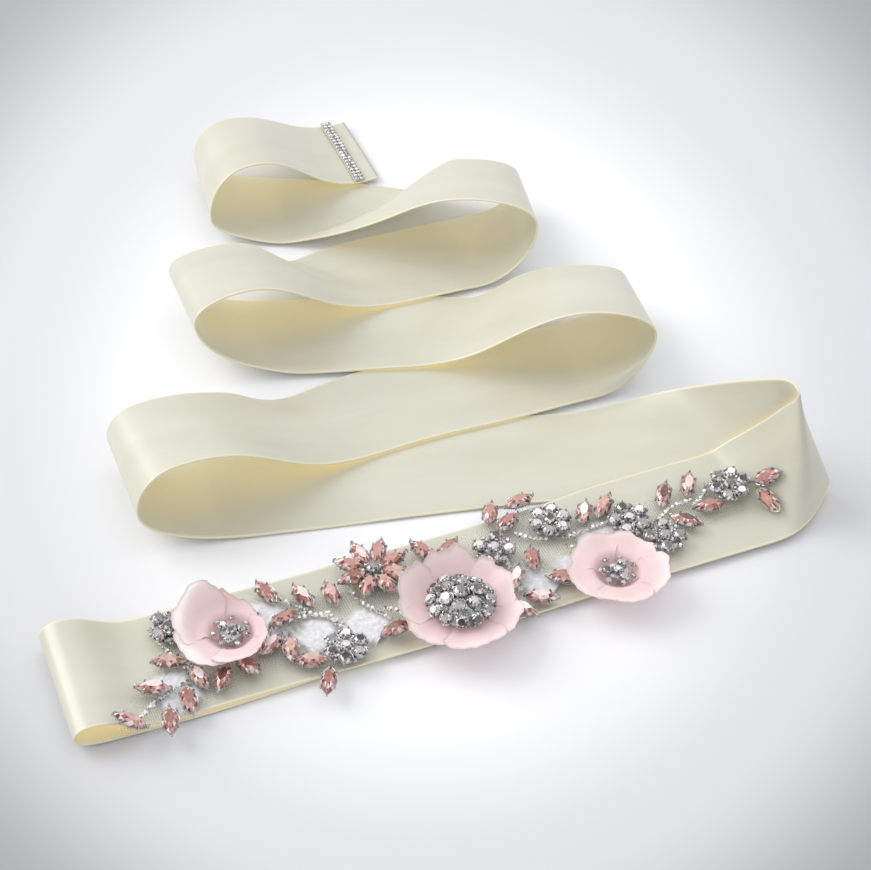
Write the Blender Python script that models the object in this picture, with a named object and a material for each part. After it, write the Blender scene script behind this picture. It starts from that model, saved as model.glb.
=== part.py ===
# Ivory satin sash belt, laid in a zig-zag on a flat surface, with a stone and flower spray
# sewn on its front run. Lengths are in millimetres and become metres in the meshes.
# X runs to the viewer's right, Y away from the viewer, Z up from the surface.
# The ribbon is one strip. Each stretch between two turns is a solid of its own, parted
# from the next by a narrow seam gap.

import math

import bmesh
import bpy
import numpy as np
from mathutils import Matrix, Vector

METRES = 0.001

# Ribbon
RIBBON_WIDTH = 40.0
CLOTH = 1.0
SEAM_GAP = 0.3
LOW_LAYER = CLOTH / 2
HIGH_LAYER = 1.5 * CLOTH + SEAM_GAP
TAIL_LENGTH = 95.0
TAIL_SWING = 3.2
TAIL_HINGE = 40.0
TAIL_BEND = 30.0
TAIL_LIFTED = 27.0
TAIL_STEPS = 14
END_LENGTH = 80.0
END_STEPS = 22
ACROSS = (-20.0, -14.0, -8.0, 0.0, 10.0, 20.0)
LAYOUT_CENTRE = (117.02, 147.14)

# Turns lying down, one row for each. x and y: where the ribbon's middle line meets the
# outermost ruling. axis: the direction in degrees in which the turn bulges. shear: degrees
# by which the ribbon crosses the turn off square. lift: how far inside that ruling the lower
# layer leaves the surface. belly: the ruling's height above the lower layer. back and crown:
# how far inside, and how high, the top of the turn lies. settle: the length over which the
# upper layer comes down. cone: share by which the turn grows towards the far edge.
FOLD_COLUMNS = (
    "hand", "x", "y", "axis", "shear", "lift", "belly", "back", "crown", "settle", "cone",
)
FOLDS = {
    "turn_1": (-1, 7.1, 12.6, 202.4, 0.4, 13.9, 4.0, 5.0, 8.5, 23.0, 0.1),
    "turn_3": (-1, 16.1, 90.5, 201.1, 8.9, 34.3, 12.1, 11.4, 23.0, 71.1, -0.17),
    "turn_4": (1, 178.4, 174.2, 10.5, 11.7, 34.7, 16.9, 14.1, 22.7, 62.7, -0.25),
    "turn_5": (-1, 25.8, 169.8, 199.1, 12.2, 42.0, 18.9, 10.8, 23.8, 63.2, -0.22),
    "turn_6": (1, 141.7, 233.0, 7.9, 14.6, 21.7, 16.1, 14.6, 22.3, 71.3, -0.25),
    "turn_7": (-1, 24.5, 245.2, 194.3, 16.2, 32.4, 7.6, 12.8, 21.7, 48.7, -0.15),
}

# The turn at the right end of the front run stands up. Its rows are rulings, straight lines
# from the near edge to the far edge. s: distances along both edges from the outermost ruling.
# The front run stays flat up to a slanting crease, and from there its far edge rises
RULING_COLUMNS = ("near_s", "far_s", "near_x", "near_y", "near_z", "far_x", "far_y", "far_z")
TURN_2 = (
    (-110, -111, 148.0, 51.3, 1.8, 131.4, 87.7, 1.8),
    (-91, -98, 165.6, 59.0, 1.8, 143.4, 93.0, 2.2),
    (-66, -80, 188.6, 68.8, 1.8, 160.0, 100.4, 3.8),
    (-46, -60, 207.0, 77.0, 1.8, 179.1, 108.3, 4.8),
    (-33, -43, 216.6, 81.2, 1.8, 195.6, 114.4, 5.8),
    (-28, -34, 220.0, 83.1, 1.8, 203.0, 115.4, 11.2),
    (-26, -22, 221.6, 84.3, 1.8, 212.4, 113.2, 22.0),
    (-24, -13, 223.2, 85.8, 1.8, 217.6, 109.8, 31.6),
    (-19, -4, 226.4, 89.6, 2.0, 219.8, 104.8, 39.4),
    (-9, 1, 230.6, 96.4, 2.7, 219.6, 106.4, 41.6),
    (2, 6, 234.5, 106.2, 4.4, 217.2, 111.4, 40.6),
    (13, 12, 227.0, 104.2, 2.2, 213.0, 116.0, 36.8),
    (19, 21, 222.2, 103.4, 0.9, 206.8, 123.0, 30.0),
    (27, 46, 214.8, 103.0, 0.5, 192.8, 136.6, 15.0),
    (50, 62, 194.2, 101.2, 0.5, 180.0, 139.0, 9.6),
    (76, 86, 169.5, 99.5, 0.5, 156.4, 138.2, 3.8),
    (100, 104, 146.7, 96.5, 0.5, 137.6, 135.6, 0.7),
    (120, 120, 127.3, 92.9, 0.5, 121.0, 132.4, 0.5),
)
RULING_STEPS = 12

# Runs between turns. Each lies with its near edge on the run before it. drop: the share of
# the run at which the near edge has left that run and comes down to the surface
RUN_COLUMNS = ("node", "first", "last", "length", "drop")
RUNS = (
    ("ribbon_front", "turn_1", "turn_2", 258.0, 0.40),
    ("ribbon_run_2", "turn_2", "turn_3", 233.5, 0.40),
    ("ribbon_run_3", "turn_3", "turn_4", 199.6, 0.83),
    ("ribbon_run_4", "turn_4", "turn_5", 166.8, 0.66),
    ("ribbon_run_5", "turn_5", "turn_6", 146.2, 0.70),
    ("ribbon_run_6", "turn_6", "turn_7", 124.6, 0.66),
)
BEND_LENGTH = 85.0
BEND_SHARE = 0.45
BEND_STEPS = 18
BEND_EASE = 1.6
BLEND_FROM = 0.35
BLEND_TO = 0.65
MIDDLE_DROP = 0.40
FAR_DROP = 0.25
DROP_ACROSS = (-20.0, -5.0, 20.0)
DROP_SHARE = 0.14

# Spray on the front run. s runs along the ribbon from turn_1, v across it, far edge positive
NET_THICKNESS = 1.0
NET_HEIGHT = CLOTH / 2 + 2 * SEAM_GAP
STONE_HEIGHT = NET_HEIGHT + NET_THICKNESS + SEAM_GAP
BARE_STONE_HEIGHT = CLOTH / 2 + SEAM_GAP

# Net backing: half-widths on both sides of a line along the spray
NET_COLUMNS = ("s", "v", "half")
NET_ROWS = (
    (14.0, -20.0, 3.0), (22.0, -18.0, 6.0), (32.0, -12.0, 12.0), (42.0, -3.0, 16.0),
    (56.0, 1.0, 14.0), (68.0, 2.0, 14.0), (78.0, -5.0, 17.0), (90.0, -4.0, 14.0),
    (100.0, 4.0, 14.0), (112.0, 0.0, 17.0), (126.0, -3.0, 16.0), (140.0, 0.0, 17.0),
    (152.0, 4.0, 18.0), (164.0, 2.0, 14.0), (176.0, -3.0, 13.0), (188.0, -2.0, 11.0),
    (200.0, 0.0, 8.0), (210.0, 1.0, 7.0), (218.0, 1.0, 6.0),
)

NET_ACROSS = (-1.0, -0.5, 0.0, 0.5, 1.0)
NET_STEPS = 45
NET_WAVE = 0.06
NET_WAVE_RATE = 0.9

# Pointed oval stones
STONE_LENGTH = 10.0
STONE_WIDTH = 4.8
STONE_CROWN = 3.0
STONE_COLUMNS = ("s", "v", "angle")
STONES = (
    (36.2, -1.9, -15), (28.6, -10.3, -19), (17.1, -21.5, -25), (29.9, -23.0, 78),
    (37.0, -17.2, 87), (42.3, -10.2, 99), (48.4, -12.9, 56), (56.3, -11.2, -63),
    (70.6, 13.7, -75), (80.1, 8.8, -74), (88.0, 6.6, -88), (71.9, 2.2, 17),
    (65.0, -6.0, 34), (69.7, -9.5, 77), (73.7, -15.8, -21), (75.4, -24.5, 65),
    (100.3, -12.9, 11), (119.2, 13.4, -67), (126.6, 11.3, 36), (144.0, 20.1, 59),
    (154.1, 21.4, 9), (147.3, 14.6, 28), (140.6, -6.9, 55), (148.3, -2.1, 73),
    (153.5, -12.1, -23), (144.4, -17.1, -28), (137.3, -19.3, -54), (170.4, 9.2, 57),
    (177.1, 9.3, 42), (195.5, 6.7, 55), (204.3, 7.8, 59), (206.7, -2.3, -6),
    (197.5, -5.2, -41), (231.6, 1.4, -8), (229.2, -6.3, -70),
)

# Round stones: a node's stones are one in the middle and the others in a ring round it
GEM_RADIUS = 2.1
GEM_HEIGHT = 2.2
GEM_SUNK = 0.3
GEM_PITCH = 4.5
PLATE_THICKNESS = 1.0
CLUSTER_COLUMNS = ("node", "s", "v", "count", "angle")
CLUSTERS = (
    ("crystals_1", 40.4, 10.4, 5, 30), ("crystals_2", 84.4, -14.6, 7, 10),
    ("crystals_3", 139.2, 6.1, 5, 60), ("crystals_4", 159.3, 9.9, 7, 0),
    ("crystals_5", 181.7, 1.4, 6, 20), ("crystals_6", 188.8, -8.7, 5, 70),
    ("crystals_7", 216.6, 2.7, 7, 0),
)

# Fabric flowers: petals leave the net at the inner radius and stand clear of the stones
# from the outer radius on. notch: share of the radius lost between two petals. lean: how
# much higher the petals on the far side stand. skew: share by which they are longer on
# the left
FLOWER_COLUMNS = (
    "node", "s", "v", "petals", "radius", "inner", "outer", "turn", "notch", "lean", "skew",
)
FLOWERS = (
    ("flower_left", 55.3, 0.0, 4, 12.8, 3.6, 8.0, 20, 0.16, 5.0, 0.25),
    ("flower_middle", 119.3, -15.0, 5, 17.2, 3.6, 8.2, 54, 0.14, 6.0, 0.0),
    ("flower_right", 168.0, -18.5, 5, 14.6, 3.6, 8.0, 10, 0.20, 0.0, 0.0),
)
PETAL_FOOT = 2.85
PETAL_RISE = 3.8
PETAL_CUP = 1.6
PETAL_WAVE = 0.6
PETAL_STEPS = 40
PETAL_RINGS = (0.22, 0.34, 0.50, 0.75, 1.0)

# Stones in the flowers
CENTRE_GEM_RADIUS = 1.5
CENTRE_PITCH = 3.2
CENTRE_STEM = 3.0
CENTRE_HEIGHT = PETAL_FOOT + CLOTH / 2 + SEAM_GAP
CENTRE_COLUMNS = ("node", "flower", "count", "angle")
CENTRES = (
    ("flower_left_centre", "flower_left", 4, 0),
    ("flower_right_centre", "flower_right", 4, 40),
)
DOME_RADIUS = 8.8
DOME_GAP = 1.1
DOME_FOOT = PETAL_FOOT + PETAL_RISE + CLOTH / 2 + DOME_GAP
DOME_RISE = 3.4
DOME_RINGS = ((0.0, 1, 0), (4.4, 6, 0), (8.2, 12, 8))
DOME_SIDES = 18
DOME_LEAN = 0.75
CAP_WALL = 1.0
CAP_LEVELS = ((1.0, 0.0), (0.72, 0.55), (0.36, 0.9))

# Flower made of pointed stones round a round one
STONE_FLOWER = {"s": 102.8, "v": 11.0, "petals": 8, "ring": 7.6, "plate": 6.0, "turn": 12}

# Strip of small stones across the ribbon's end
TRIM_FROM_END = 8.0
TRIM_WIDTH = 4.0
TRIM_THICKNESS = 1.8

COLOURS = {
    "satin": ((0.86, 0.83, 0.72), 0.35, 0.0),
    "net": ((0.93, 0.93, 0.94), 0.7, 0.0),
    "rose_stone": ((0.78, 0.48, 0.42), 0.12, 0.0),
    "clear_stone": ((0.66, 0.67, 0.68), 0.12, 0.3),
    "petal": ((0.90, 0.74, 0.74), 0.6, 0.0),
}


def named(columns, row):
    return dict(zip(columns, row))


def smooth(share):
    share = np.clip(share, 0.0, 1.0)
    return share * share * (3.0 - 2.0 * share)


def bezier(points, count):
    t = np.linspace(0.0, 1.0, count)[:, None]
    weights = ((1 - t) ** 3, 3 * (1 - t) ** 2 * t, 3 * (1 - t) * t * t, t ** 3)
    return sum(weight * np.array(point) for weight, point in zip(weights, points))


def fold_profile(fold, grow):
    # The turn seen from its side: distance inside the outermost ruling against height
    lift, back = fold["lift"] * grow, fold["back"] * grow
    belly, crown = fold["belly"] * grow, fold["crown"] * grow
    low, high, settle = LOW_LAYER, HIGH_LAYER, fold["settle"]
    rising = bezier(((-lift, low), (-0.4 * lift, low), (0, low + 0.45 * belly), (0, low + belly)), 20)
    over = bezier((
        (0, low + belly), (0, low + 0.45 * belly + 0.55 * crown),
        (-0.45 * back, low + crown), (-back, low + crown),
    ), 20)
    falling = bezier((
        (-back, low + crown), (-back - 0.42 * settle, low + crown),
        (-back - 0.5 * settle, high), (-back - settle, high),
    ), 20)
    points = np.vstack([rising, over[1:], falling[1:]])
    steps = np.hypot(*np.diff(points, axis=0).T)
    travel = np.concatenate([[0.0], np.cumsum(steps)])
    return travel - travel[len(rising) - 1], points


def fold_surface(fold, s, v):
    # s: distance along the ribbon from the outermost ruling; v: place across the ribbon
    travel, points = fold_profile(fold, 1.0 + fold["cone"] * v / (RIBBON_WIDTH / 2))
    shear, axis = math.radians(fold["shear"]), math.radians(fold["axis"])
    around = s * math.cos(shear) - v * math.sin(shear)
    along = s * math.sin(shear) + v * math.cos(shear)
    inward = np.interp(around, travel, points[:, 0])
    inward = inward + np.minimum(around - travel[0], 0) - np.maximum(around - travel[-1], 0)
    height = np.interp(around, travel, points[:, 1])
    out = np.array([math.cos(axis), math.sin(axis)])
    side = np.array([-math.sin(axis), math.cos(axis)]) * fold["hand"]
    return np.column_stack([
        fold["x"] + inward * out[0] + along * side[0],
        fold["y"] + inward * out[1] + along * side[1],
        height,
    ])


def through(rows, steps):
    # Smooth curve through the rows, with the mean slope of both neighbours at each
    rows = np.array(rows, dtype=float)
    places = np.linspace(0, len(rows) - 1, (len(rows) - 1) * steps + 1)
    first = np.minimum(places.astype(int), len(rows) - 2)
    t = (places - first)[:, None]
    slopes = np.gradient(rows, axis=0)
    return (
        rows[first] * (1 + 2 * t) * (1 - t) ** 2 + slopes[first] * t * (1 - t) ** 2
        + rows[first + 1] * t * t * (3 - 2 * t) - slopes[first + 1] * t * t * (1 - t)
    )


def ruled_surface(rows, s, v):
    # Finds the ruling through each place, and goes on straight and level past the last ones
    ruling = named(RULING_COLUMNS, through(rows, RULING_STEPS).T)
    share = v / RIBBON_WIDTH + 0.5
    stations = ruling["near_s"] * (1 - share) + ruling["far_s"] * share
    near = np.column_stack([ruling["near_x"], ruling["near_y"], ruling["near_z"]])
    far = np.column_stack([ruling["far_x"], ruling["far_y"], ruling["far_z"]])
    points = near * (1 - share) + far * share
    middle = (near + far) / 2
    first = middle[RULING_STEPS] - middle[0]
    last = middle[-1] - middle[-1 - RULING_STEPS]
    level = np.array([1.0, 1.0, 0.0])
    first = first * level / np.linalg.norm(first * level)
    last = last * level / np.linalg.norm(last * level)
    found = np.column_stack([np.interp(s, stations, column) for column in points.T])
    before = np.minimum(s - stations[0], 0)[:, None]
    after = np.maximum(s - stations[-1], 0)[:, None]
    return found + before * first + after * last


def turn_surface(name, s, v):
    if name == "turn_2":
        return ruled_surface(TURN_2, s, v)
    return fold_surface(named(FOLD_COLUMNS, FOLDS[name]), s, v)


def run_surface(run, s, v):
    # The run follows its first turn at its start and its last turn at its end
    length = run["length"]
    first = turn_surface(run["first"], s, v)
    last = turn_surface(run["last"], s - length, v)
    plan = smooth((s / length - BLEND_FROM) / (BLEND_TO - BLEND_FROM))
    start = np.interp(v, DROP_ACROSS, (run["drop"], MIDDLE_DROP, FAR_DROP))
    drop = smooth((s / length - start) / DROP_SHARE)
    weight = np.column_stack([plan, plan, drop])
    return first * (1 - weight) + last * weight


def placed(points):
    shift = np.array([LAYOUT_CENTRE[0], LAYOUT_CENTRE[1], 0.0])
    return (np.asarray(points) - shift) * METRES


def material(name):
    found = bpy.data.materials.get(name)
    if found:
        return found
    colour, roughness, metallic = COLOURS[name]
    made = bpy.data.materials.new(name)
    made.use_nodes = True
    shader = made.node_tree.nodes["Principled BSDF"]
    shader.inputs["Base Color"].default_value = (*colour, 1.0)
    shader.inputs["Roughness"].default_value = roughness
    shader.inputs["Metallic"].default_value = metallic
    made.diffuse_color = (*colour, 1.0)
    return made


def add_object(name, vertices, faces, slot):
    mesh = bpy.data.meshes.new(name)
    mesh.from_pydata([tuple(vertex) for vertex in vertices], [], faces)
    mesh.update()
    mesh.materials.append(material(slot))
    made = bpy.data.objects.new(name, mesh)
    bpy.context.scene.collection.objects.link(made)
    return made


def grid_faces(rows, columns, closed=False):
    last = columns if closed else columns - 1
    return [
        (
            row * columns + column, row * columns + (column + 1) % columns,
            (row + 1) * columns + (column + 1) % columns, (row + 1) * columns + column,
        )
        for row in range(rows - 1)
        for column in range(last)
    ]


def thicken(obj, thickness):
    wall = obj.modifiers.new("wall", "SOLIDIFY")
    wall.thickness = thickness * METRES
    wall.offset = 0.0
    wall.use_even_offset = True
    return obj


def ribbon_wall(name, surface, stations):
    columns = [surface(stations, v) for v in ACROSS]
    points = np.stack(columns, axis=1).reshape(-1, 3)
    wall = add_object(name, placed(points), grid_faces(len(stations), len(ACROSS)), "satin")
    return thicken(wall, CLOTH)


def run_stations(run):
    # Close together where the turns bend the ribbon, wide apart between them
    length = run["length"]
    bend = min(BEND_SHARE * length, BEND_LENGTH)
    eased = bend * np.linspace(0, 1, BEND_STEPS) ** BEND_EASE
    middle = np.linspace(bend, length - bend, 4)[1:-1]
    stations = np.concatenate([eased, middle, length - eased[::-1]])
    return np.clip(stations, SEAM_GAP / 2, length - SEAM_GAP / 2)


def tail_surface(s, v):
    # The tail swings towards the far side, so that it lies under the front run
    fold = named(FOLD_COLUMNS, FOLDS["turn_1"])
    points = fold_surface(fold, s, v)
    hinge = fold_surface(fold, np.array([-TAIL_HINGE]), 0.0)[0]
    share = smooth((-s - TAIL_HINGE) / TAIL_BEND + 0.5)
    turn = math.radians(TAIL_SWING) * share
    x, y = points[:, 0] - hinge[0], points[:, 1] - hinge[1]
    points[:, 0] = hinge[0] + x * np.cos(turn) - y * np.sin(turn)
    points[:, 1] = hinge[1] + x * np.sin(turn) + y * np.cos(turn)
    return points


def make_ribbon():
    last_turn = named(FOLD_COLUMNS, FOLDS["turn_7"])
    lifted = -SEAM_GAP / 2 - TAIL_LIFTED * np.linspace(1, 0, TAIL_STEPS) ** BEND_EASE
    tail = np.concatenate([np.linspace(-TAIL_LENGTH, -TAIL_LIFTED, 8)[:-1], lifted])
    ribbon_wall("ribbon_tail", tail_surface, tail)
    for row in RUNS:
        run = named(RUN_COLUMNS, row)
        ribbon_wall(run["node"], lambda s, v: run_surface(run, s, v), run_stations(run))
    eased = np.linspace(0, 1, END_STEPS) ** BEND_EASE
    end = SEAM_GAP / 2 + (END_LENGTH - SEAM_GAP / 2) * eased
    ribbon_wall("ribbon_end", lambda s, v: fold_surface(last_turn, s, v), end)


def front_frame(s, v):
    # Point on the front run's middle layer, with the directions along, across and up
    run = named(RUN_COLUMNS, RUNS[0])
    step = 0.5
    here = run_surface(run, np.array([s]), v)[0]
    along = Vector(run_surface(run, np.array([s + step]), v)[0] - here).normalized()
    across = Vector(run_surface(run, np.array([s]), v + step)[0] - here)
    up = along.cross(across).normalized()
    return here, along, up.cross(along), up


def on_front(s, v, angle, height, reach=5.0):
    # Frame of a piece on the front run, lifted where the ribbon curves up under its edge
    here, along, across, up = front_frame(s, v)
    turn = math.radians(angle)
    first = along * math.cos(turn) + across * math.sin(turn)
    second = up.cross(first)
    bulge = 0.0
    for step in range(8):
        side = turn + step * math.pi / 4
        near, _, _, _ = front_frame(s + reach * math.cos(side), v + reach * math.sin(side))
        bulge = max(bulge, Vector(near - here).dot(up))
    frame = Matrix((first, second, up)).transposed().to_4x4()
    frame.translation = Vector(here) + up * (height + bulge)
    return frame


def moved(frame, points):
    return [frame @ Vector(point) for point in points]


def gem_shape(outline, height, foot=0.9, table=0.5, girdle=0.45):
    # Cut stone in three rings: its foot, its widest ring and its flat top
    levels = ((foot, 0.0), (1.0, girdle * height), (table, height))
    points = [(x * scale, y * scale, z) for scale, z in levels for x, y in outline]
    count = len(outline)
    faces = [tuple(reversed(range(count)))]
    faces += grid_faces(len(levels), count, closed=True)
    faces.append(tuple(range(2 * count, 3 * count)))
    return points, faces


def round_outline(radius, sides=6):
    turns = [2 * math.pi * step / sides for step in range(sides)]
    return [(radius * math.cos(turn), radius * math.sin(turn)) for turn in turns]


def pointed_outline(length, width):
    # Two shallow arcs that meet in points, from eight corners
    shares = (1.0, 0.55, 0.0, -0.55, -1.0, -0.55, 0.0, 0.55)
    sides = (0, 1, 1, 1, 0, -1, -1, -1)
    return [
        (share * length / 2, side * (1 - share * share) * width / 2)
        for share, side in zip(shares, sides)
    ]


def joined(parts):
    points, faces = [], []
    for part_points, part_faces in parts:
        start = len(points)
        points += list(part_points)
        faces += [tuple(corner + start for corner in face) for face in part_faces]
    return points, faces


def united(name, base, stones, slot):
    # One closed body from a plate and the stones sunk into it
    body = add_object(name, placed(base[0]), base[1], slot)
    points, faces = joined(stones)
    tool = add_object(name + "_stones", placed(points), faces, slot)
    union = body.modifiers.new("union", "BOOLEAN")
    union.operation = "UNION"
    union.solver = "EXACT"
    union.object = tool
    bpy.context.view_layer.update()
    evaluated = body.evaluated_get(bpy.context.evaluated_depsgraph_get())
    merged = bpy.data.meshes.new_from_object(evaluated)
    body.modifiers.remove(union)
    body.data = merged
    bpy.data.objects.remove(tool)
    return body


def disc(radius, thickness, sides):
    outline = round_outline(radius, sides)
    points = [(x, y, z) for z in (0.0, thickness) for x, y in outline]
    faces = [tuple(reversed(range(sides)))] + grid_faces(2, sides, closed=True)
    faces.append(tuple(range(sides, 2 * sides)))
    return points, faces


def ring_spots(count, pitch):
    spots = [(0.0, 0.0)]
    for step in range(count - 1):
        turn = 2 * math.pi * step / (count - 1)
        spots.append((pitch * math.cos(turn), pitch * math.sin(turn)))
    return spots


def gem_plate(name, frame, count, pitch, gem_radius, thickness):
    base = disc(pitch, thickness, 12)
    outline = round_outline(gem_radius)
    stones = []
    for x, y in ring_spots(count, pitch):
        points, faces = gem_shape(outline, GEM_HEIGHT)
        spot = Matrix.Translation((x, y, thickness - GEM_SUNK))
        stones.append((moved(frame @ spot, points), faces))
    united(name, (moved(frame, base[0]), base[1]), stones, "clear_stone")


def make_net():
    net = named(NET_COLUMNS, np.array(NET_ROWS).T)
    stations = np.linspace(net["s"][0], net["s"][-1], NET_STEPS)
    middle = np.interp(stations, net["s"], net["v"])
    half = np.interp(stations, net["s"], net["half"])
    half = half * (1 + NET_WAVE * np.sin(stations * NET_WAVE_RATE))
    points = []
    for s, v, reach in zip(stations, middle, half):
        for share in NET_ACROSS:
            here, _, _, up = front_frame(s, v + share * reach)
            points.append(Vector(here) + up * (NET_HEIGHT + NET_THICKNESS / 2))
    faces = grid_faces(len(stations), len(NET_ACROSS))
    thicken(add_object("net_backing", placed(points), faces, "net"), NET_THICKNESS)


def make_stones():
    outline = pointed_outline(STONE_LENGTH, STONE_WIDTH)
    for number, row in enumerate(STONES, 1):
        stone = named(STONE_COLUMNS, row)
        on_net = stone["s"] < NET_ROWS[-1][0]
        height = STONE_HEIGHT if on_net else BARE_STONE_HEIGHT
        frame = on_front(stone["s"], stone["v"], stone["angle"], height)
        points, faces = gem_shape(outline, STONE_CROWN)
        add_object(f"stone_{number:02d}", placed(moved(frame, points)), faces, "rose_stone")


def make_clusters():
    for row in CLUSTERS:
        cluster = named(CLUSTER_COLUMNS, row)
        frame = on_front(
            cluster["s"], cluster["v"], cluster["angle"], STONE_HEIGHT, reach=GEM_PITCH + GEM_RADIUS
        )
        gem_plate(cluster["node"], frame, cluster["count"], GEM_PITCH, GEM_RADIUS, PLATE_THICKNESS)


def petal_radius(flower, turn):
    # Scalloped edge, full at each petal's middle and notched between petals
    wave = np.abs(np.sin(flower["petals"] * turn / 2))
    right = np.cos(turn + math.radians(flower["turn"]))
    length = flower["radius"] * (1 - flower["skew"] * right)
    return length * (1 - flower["notch"] * (1 - wave ** 0.7))


def make_flowers():
    turns = np.linspace(0, 2 * math.pi, PETAL_STEPS, endpoint=False)
    for row in FLOWERS:
        flower = named(FLOWER_COLUMNS, row)
        frame = on_front(flower["s"], flower["v"], flower["turn"], 0.0)
        edge = petal_radius(flower, turns)
        far_side = np.maximum(np.sin(turns + math.radians(flower["turn"])), 0)
        points = [(0.0, 0.0, PETAL_FOOT)]
        for share in PETAL_RINGS:
            radius = share * edge
            climb = (radius - flower["inner"]) / (flower["outer"] - flower["inner"])
            outer = np.clip((radius - flower["outer"]) / (flower["radius"] - flower["outer"]), 0, 1)
            height = PETAL_FOOT + PETAL_RISE * smooth(climb) + PETAL_CUP * outer ** 2
            height = height + PETAL_WAVE * outer * np.sin(2 * flower["petals"] * turns)
            height = height + flower["lean"] * far_side * outer ** 2
            points += list(zip(radius * np.cos(turns), radius * np.sin(turns), height))
        faces = [(0, 1 + step, 1 + (step + 1) % PETAL_STEPS) for step in range(PETAL_STEPS)]
        faces += [
            tuple(corner + 1 for corner in reversed(face))
            for face in grid_faces(len(PETAL_RINGS), PETAL_STEPS, closed=True)
        ]
        wall = add_object(flower["node"], placed(moved(frame, points)), faces, "petal")
        thicken(wall, CLOTH)


def make_centres():
    flowers = {row[0]: named(FLOWER_COLUMNS, row) for row in FLOWERS}
    for row in CENTRES:
        centre = named(CENTRE_COLUMNS, row)
        flower = flowers[centre["flower"]]
        frame = on_front(flower["s"], flower["v"], centre["angle"], CENTRE_HEIGHT)
        gem_plate(
            centre["node"], frame, centre["count"], CENTRE_PITCH, CENTRE_GEM_RADIUS, CENTRE_STEM
        )


def make_dome():
    # Dome of round stones in the middle flower, on a cap that rests on the petals
    flower = named(FLOWER_COLUMNS, FLOWERS[1])
    frame = on_front(flower["s"], flower["v"], 0, DOME_FOOT)
    levels = [(1.0, 0.0)] + [(scale, CAP_WALL + rise * DOME_RISE) for scale, rise in CAP_LEVELS]
    outline = round_outline(DOME_RADIUS, DOME_SIDES)
    points = [(x * scale, y * scale, z) for scale, z in levels for x, y in outline]
    faces = [tuple(reversed(range(DOME_SIDES)))]
    faces += grid_faces(len(levels), DOME_SIDES, closed=True)
    faces.append(tuple(range((len(levels) - 1) * DOME_SIDES, len(levels) * DOME_SIDES)))
    stones = []
    for ring, count, turn in DOME_RINGS:
        lean = DOME_LEAN * ring / DOME_RADIUS
        height = CAP_WALL + DOME_RISE * (1 - (ring / DOME_RADIUS) ** 2) - 2 * GEM_SUNK
        for step in range(count):
            spin = Matrix.Rotation(2 * math.pi * step / count + math.radians(turn), 4, "Z")
            tip = Matrix.Rotation(lean, 4, "Y")
            spot = spin @ Matrix.Translation((ring, 0, height)) @ tip
            gem_points, gem_faces = gem_shape(round_outline(GEM_RADIUS), GEM_HEIGHT)
            stones.append((moved(frame @ spot, gem_points), gem_faces))
    united("flower_middle_dome", (moved(frame, points), faces), stones, "clear_stone")


def make_stone_flower():
    flower = STONE_FLOWER
    frame = on_front(flower["s"], flower["v"], flower["turn"], STONE_HEIGHT)
    base = disc(flower["plate"], PLATE_THICKNESS, 16)
    outline = pointed_outline(STONE_LENGTH, STONE_WIDTH)
    stones = []
    for step in range(flower["petals"]):
        spin = Matrix.Rotation(2 * math.pi * step / flower["petals"], 4, "Z")
        spot = spin @ Matrix.Translation((flower["ring"], 0, PLATE_THICKNESS - GEM_SUNK))
        points, faces = gem_shape(outline, STONE_CROWN)
        stones.append((moved(frame @ spot, points), faces))
    united("stone_flower", (moved(frame, base[0]), base[1]), stones, "rose_stone")
    points, faces = gem_shape(round_outline(GEM_RADIUS), STONE_CROWN)
    seat = frame @ Matrix.Translation((0, 0, PLATE_THICKNESS + SEAM_GAP))
    add_object("stone_flower_centre", placed(moved(seat, points)), faces, "clear_stone")


def make_trim():
    last_turn = named(FOLD_COLUMNS, FOLDS["turn_7"])
    middle = END_LENGTH - TRIM_FROM_END
    height = CLOTH / 2 + SEAM_GAP + TRIM_THICKNESS / 2
    stations = middle + np.array([-0.5, 0.5]) * TRIM_WIDTH
    columns = [fold_surface(last_turn, stations, v) for v in ACROSS]
    points = np.stack(columns, axis=1).reshape(-1, 3) + np.array([0, 0, height])
    trim = add_object("trim_strip", placed(points), grid_faces(2, len(ACROSS)), "clear_stone")
    thicken(trim, TRIM_THICKNESS)


def outward(obj):
    # Turns every face of a plain mesh to the outside
    shape = bmesh.new()
    shape.from_mesh(obj.data)
    bmesh.ops.recalc_face_normals(shape, faces=shape.faces)
    shape.to_mesh(obj.data)
    shape.free()


def main():
    for obj in list(bpy.data.objects):
        bpy.data.objects.remove(obj)
    make_ribbon()
    make_net()
    make_stones()
    make_clusters()
    make_flowers()
    make_centres()
    make_dome()
    make_stone_flower()
    make_trim()
    for obj in bpy.data.objects:
        outward(obj)


main()
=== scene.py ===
import math

import bpy
import numpy as np
from mathutils import Matrix


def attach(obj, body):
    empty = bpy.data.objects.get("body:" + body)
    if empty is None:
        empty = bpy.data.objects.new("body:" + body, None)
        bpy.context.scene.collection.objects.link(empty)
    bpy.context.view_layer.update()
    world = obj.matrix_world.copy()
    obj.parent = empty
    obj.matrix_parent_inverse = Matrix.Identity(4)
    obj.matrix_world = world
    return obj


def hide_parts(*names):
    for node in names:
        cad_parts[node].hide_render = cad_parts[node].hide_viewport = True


# Looks of an ivory satin sash belt laid in a zig-zag, with a stone and flower spray sewn on.
# Lengths are in millimetres until a mesh is made, x to the right, y away, z up.

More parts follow.
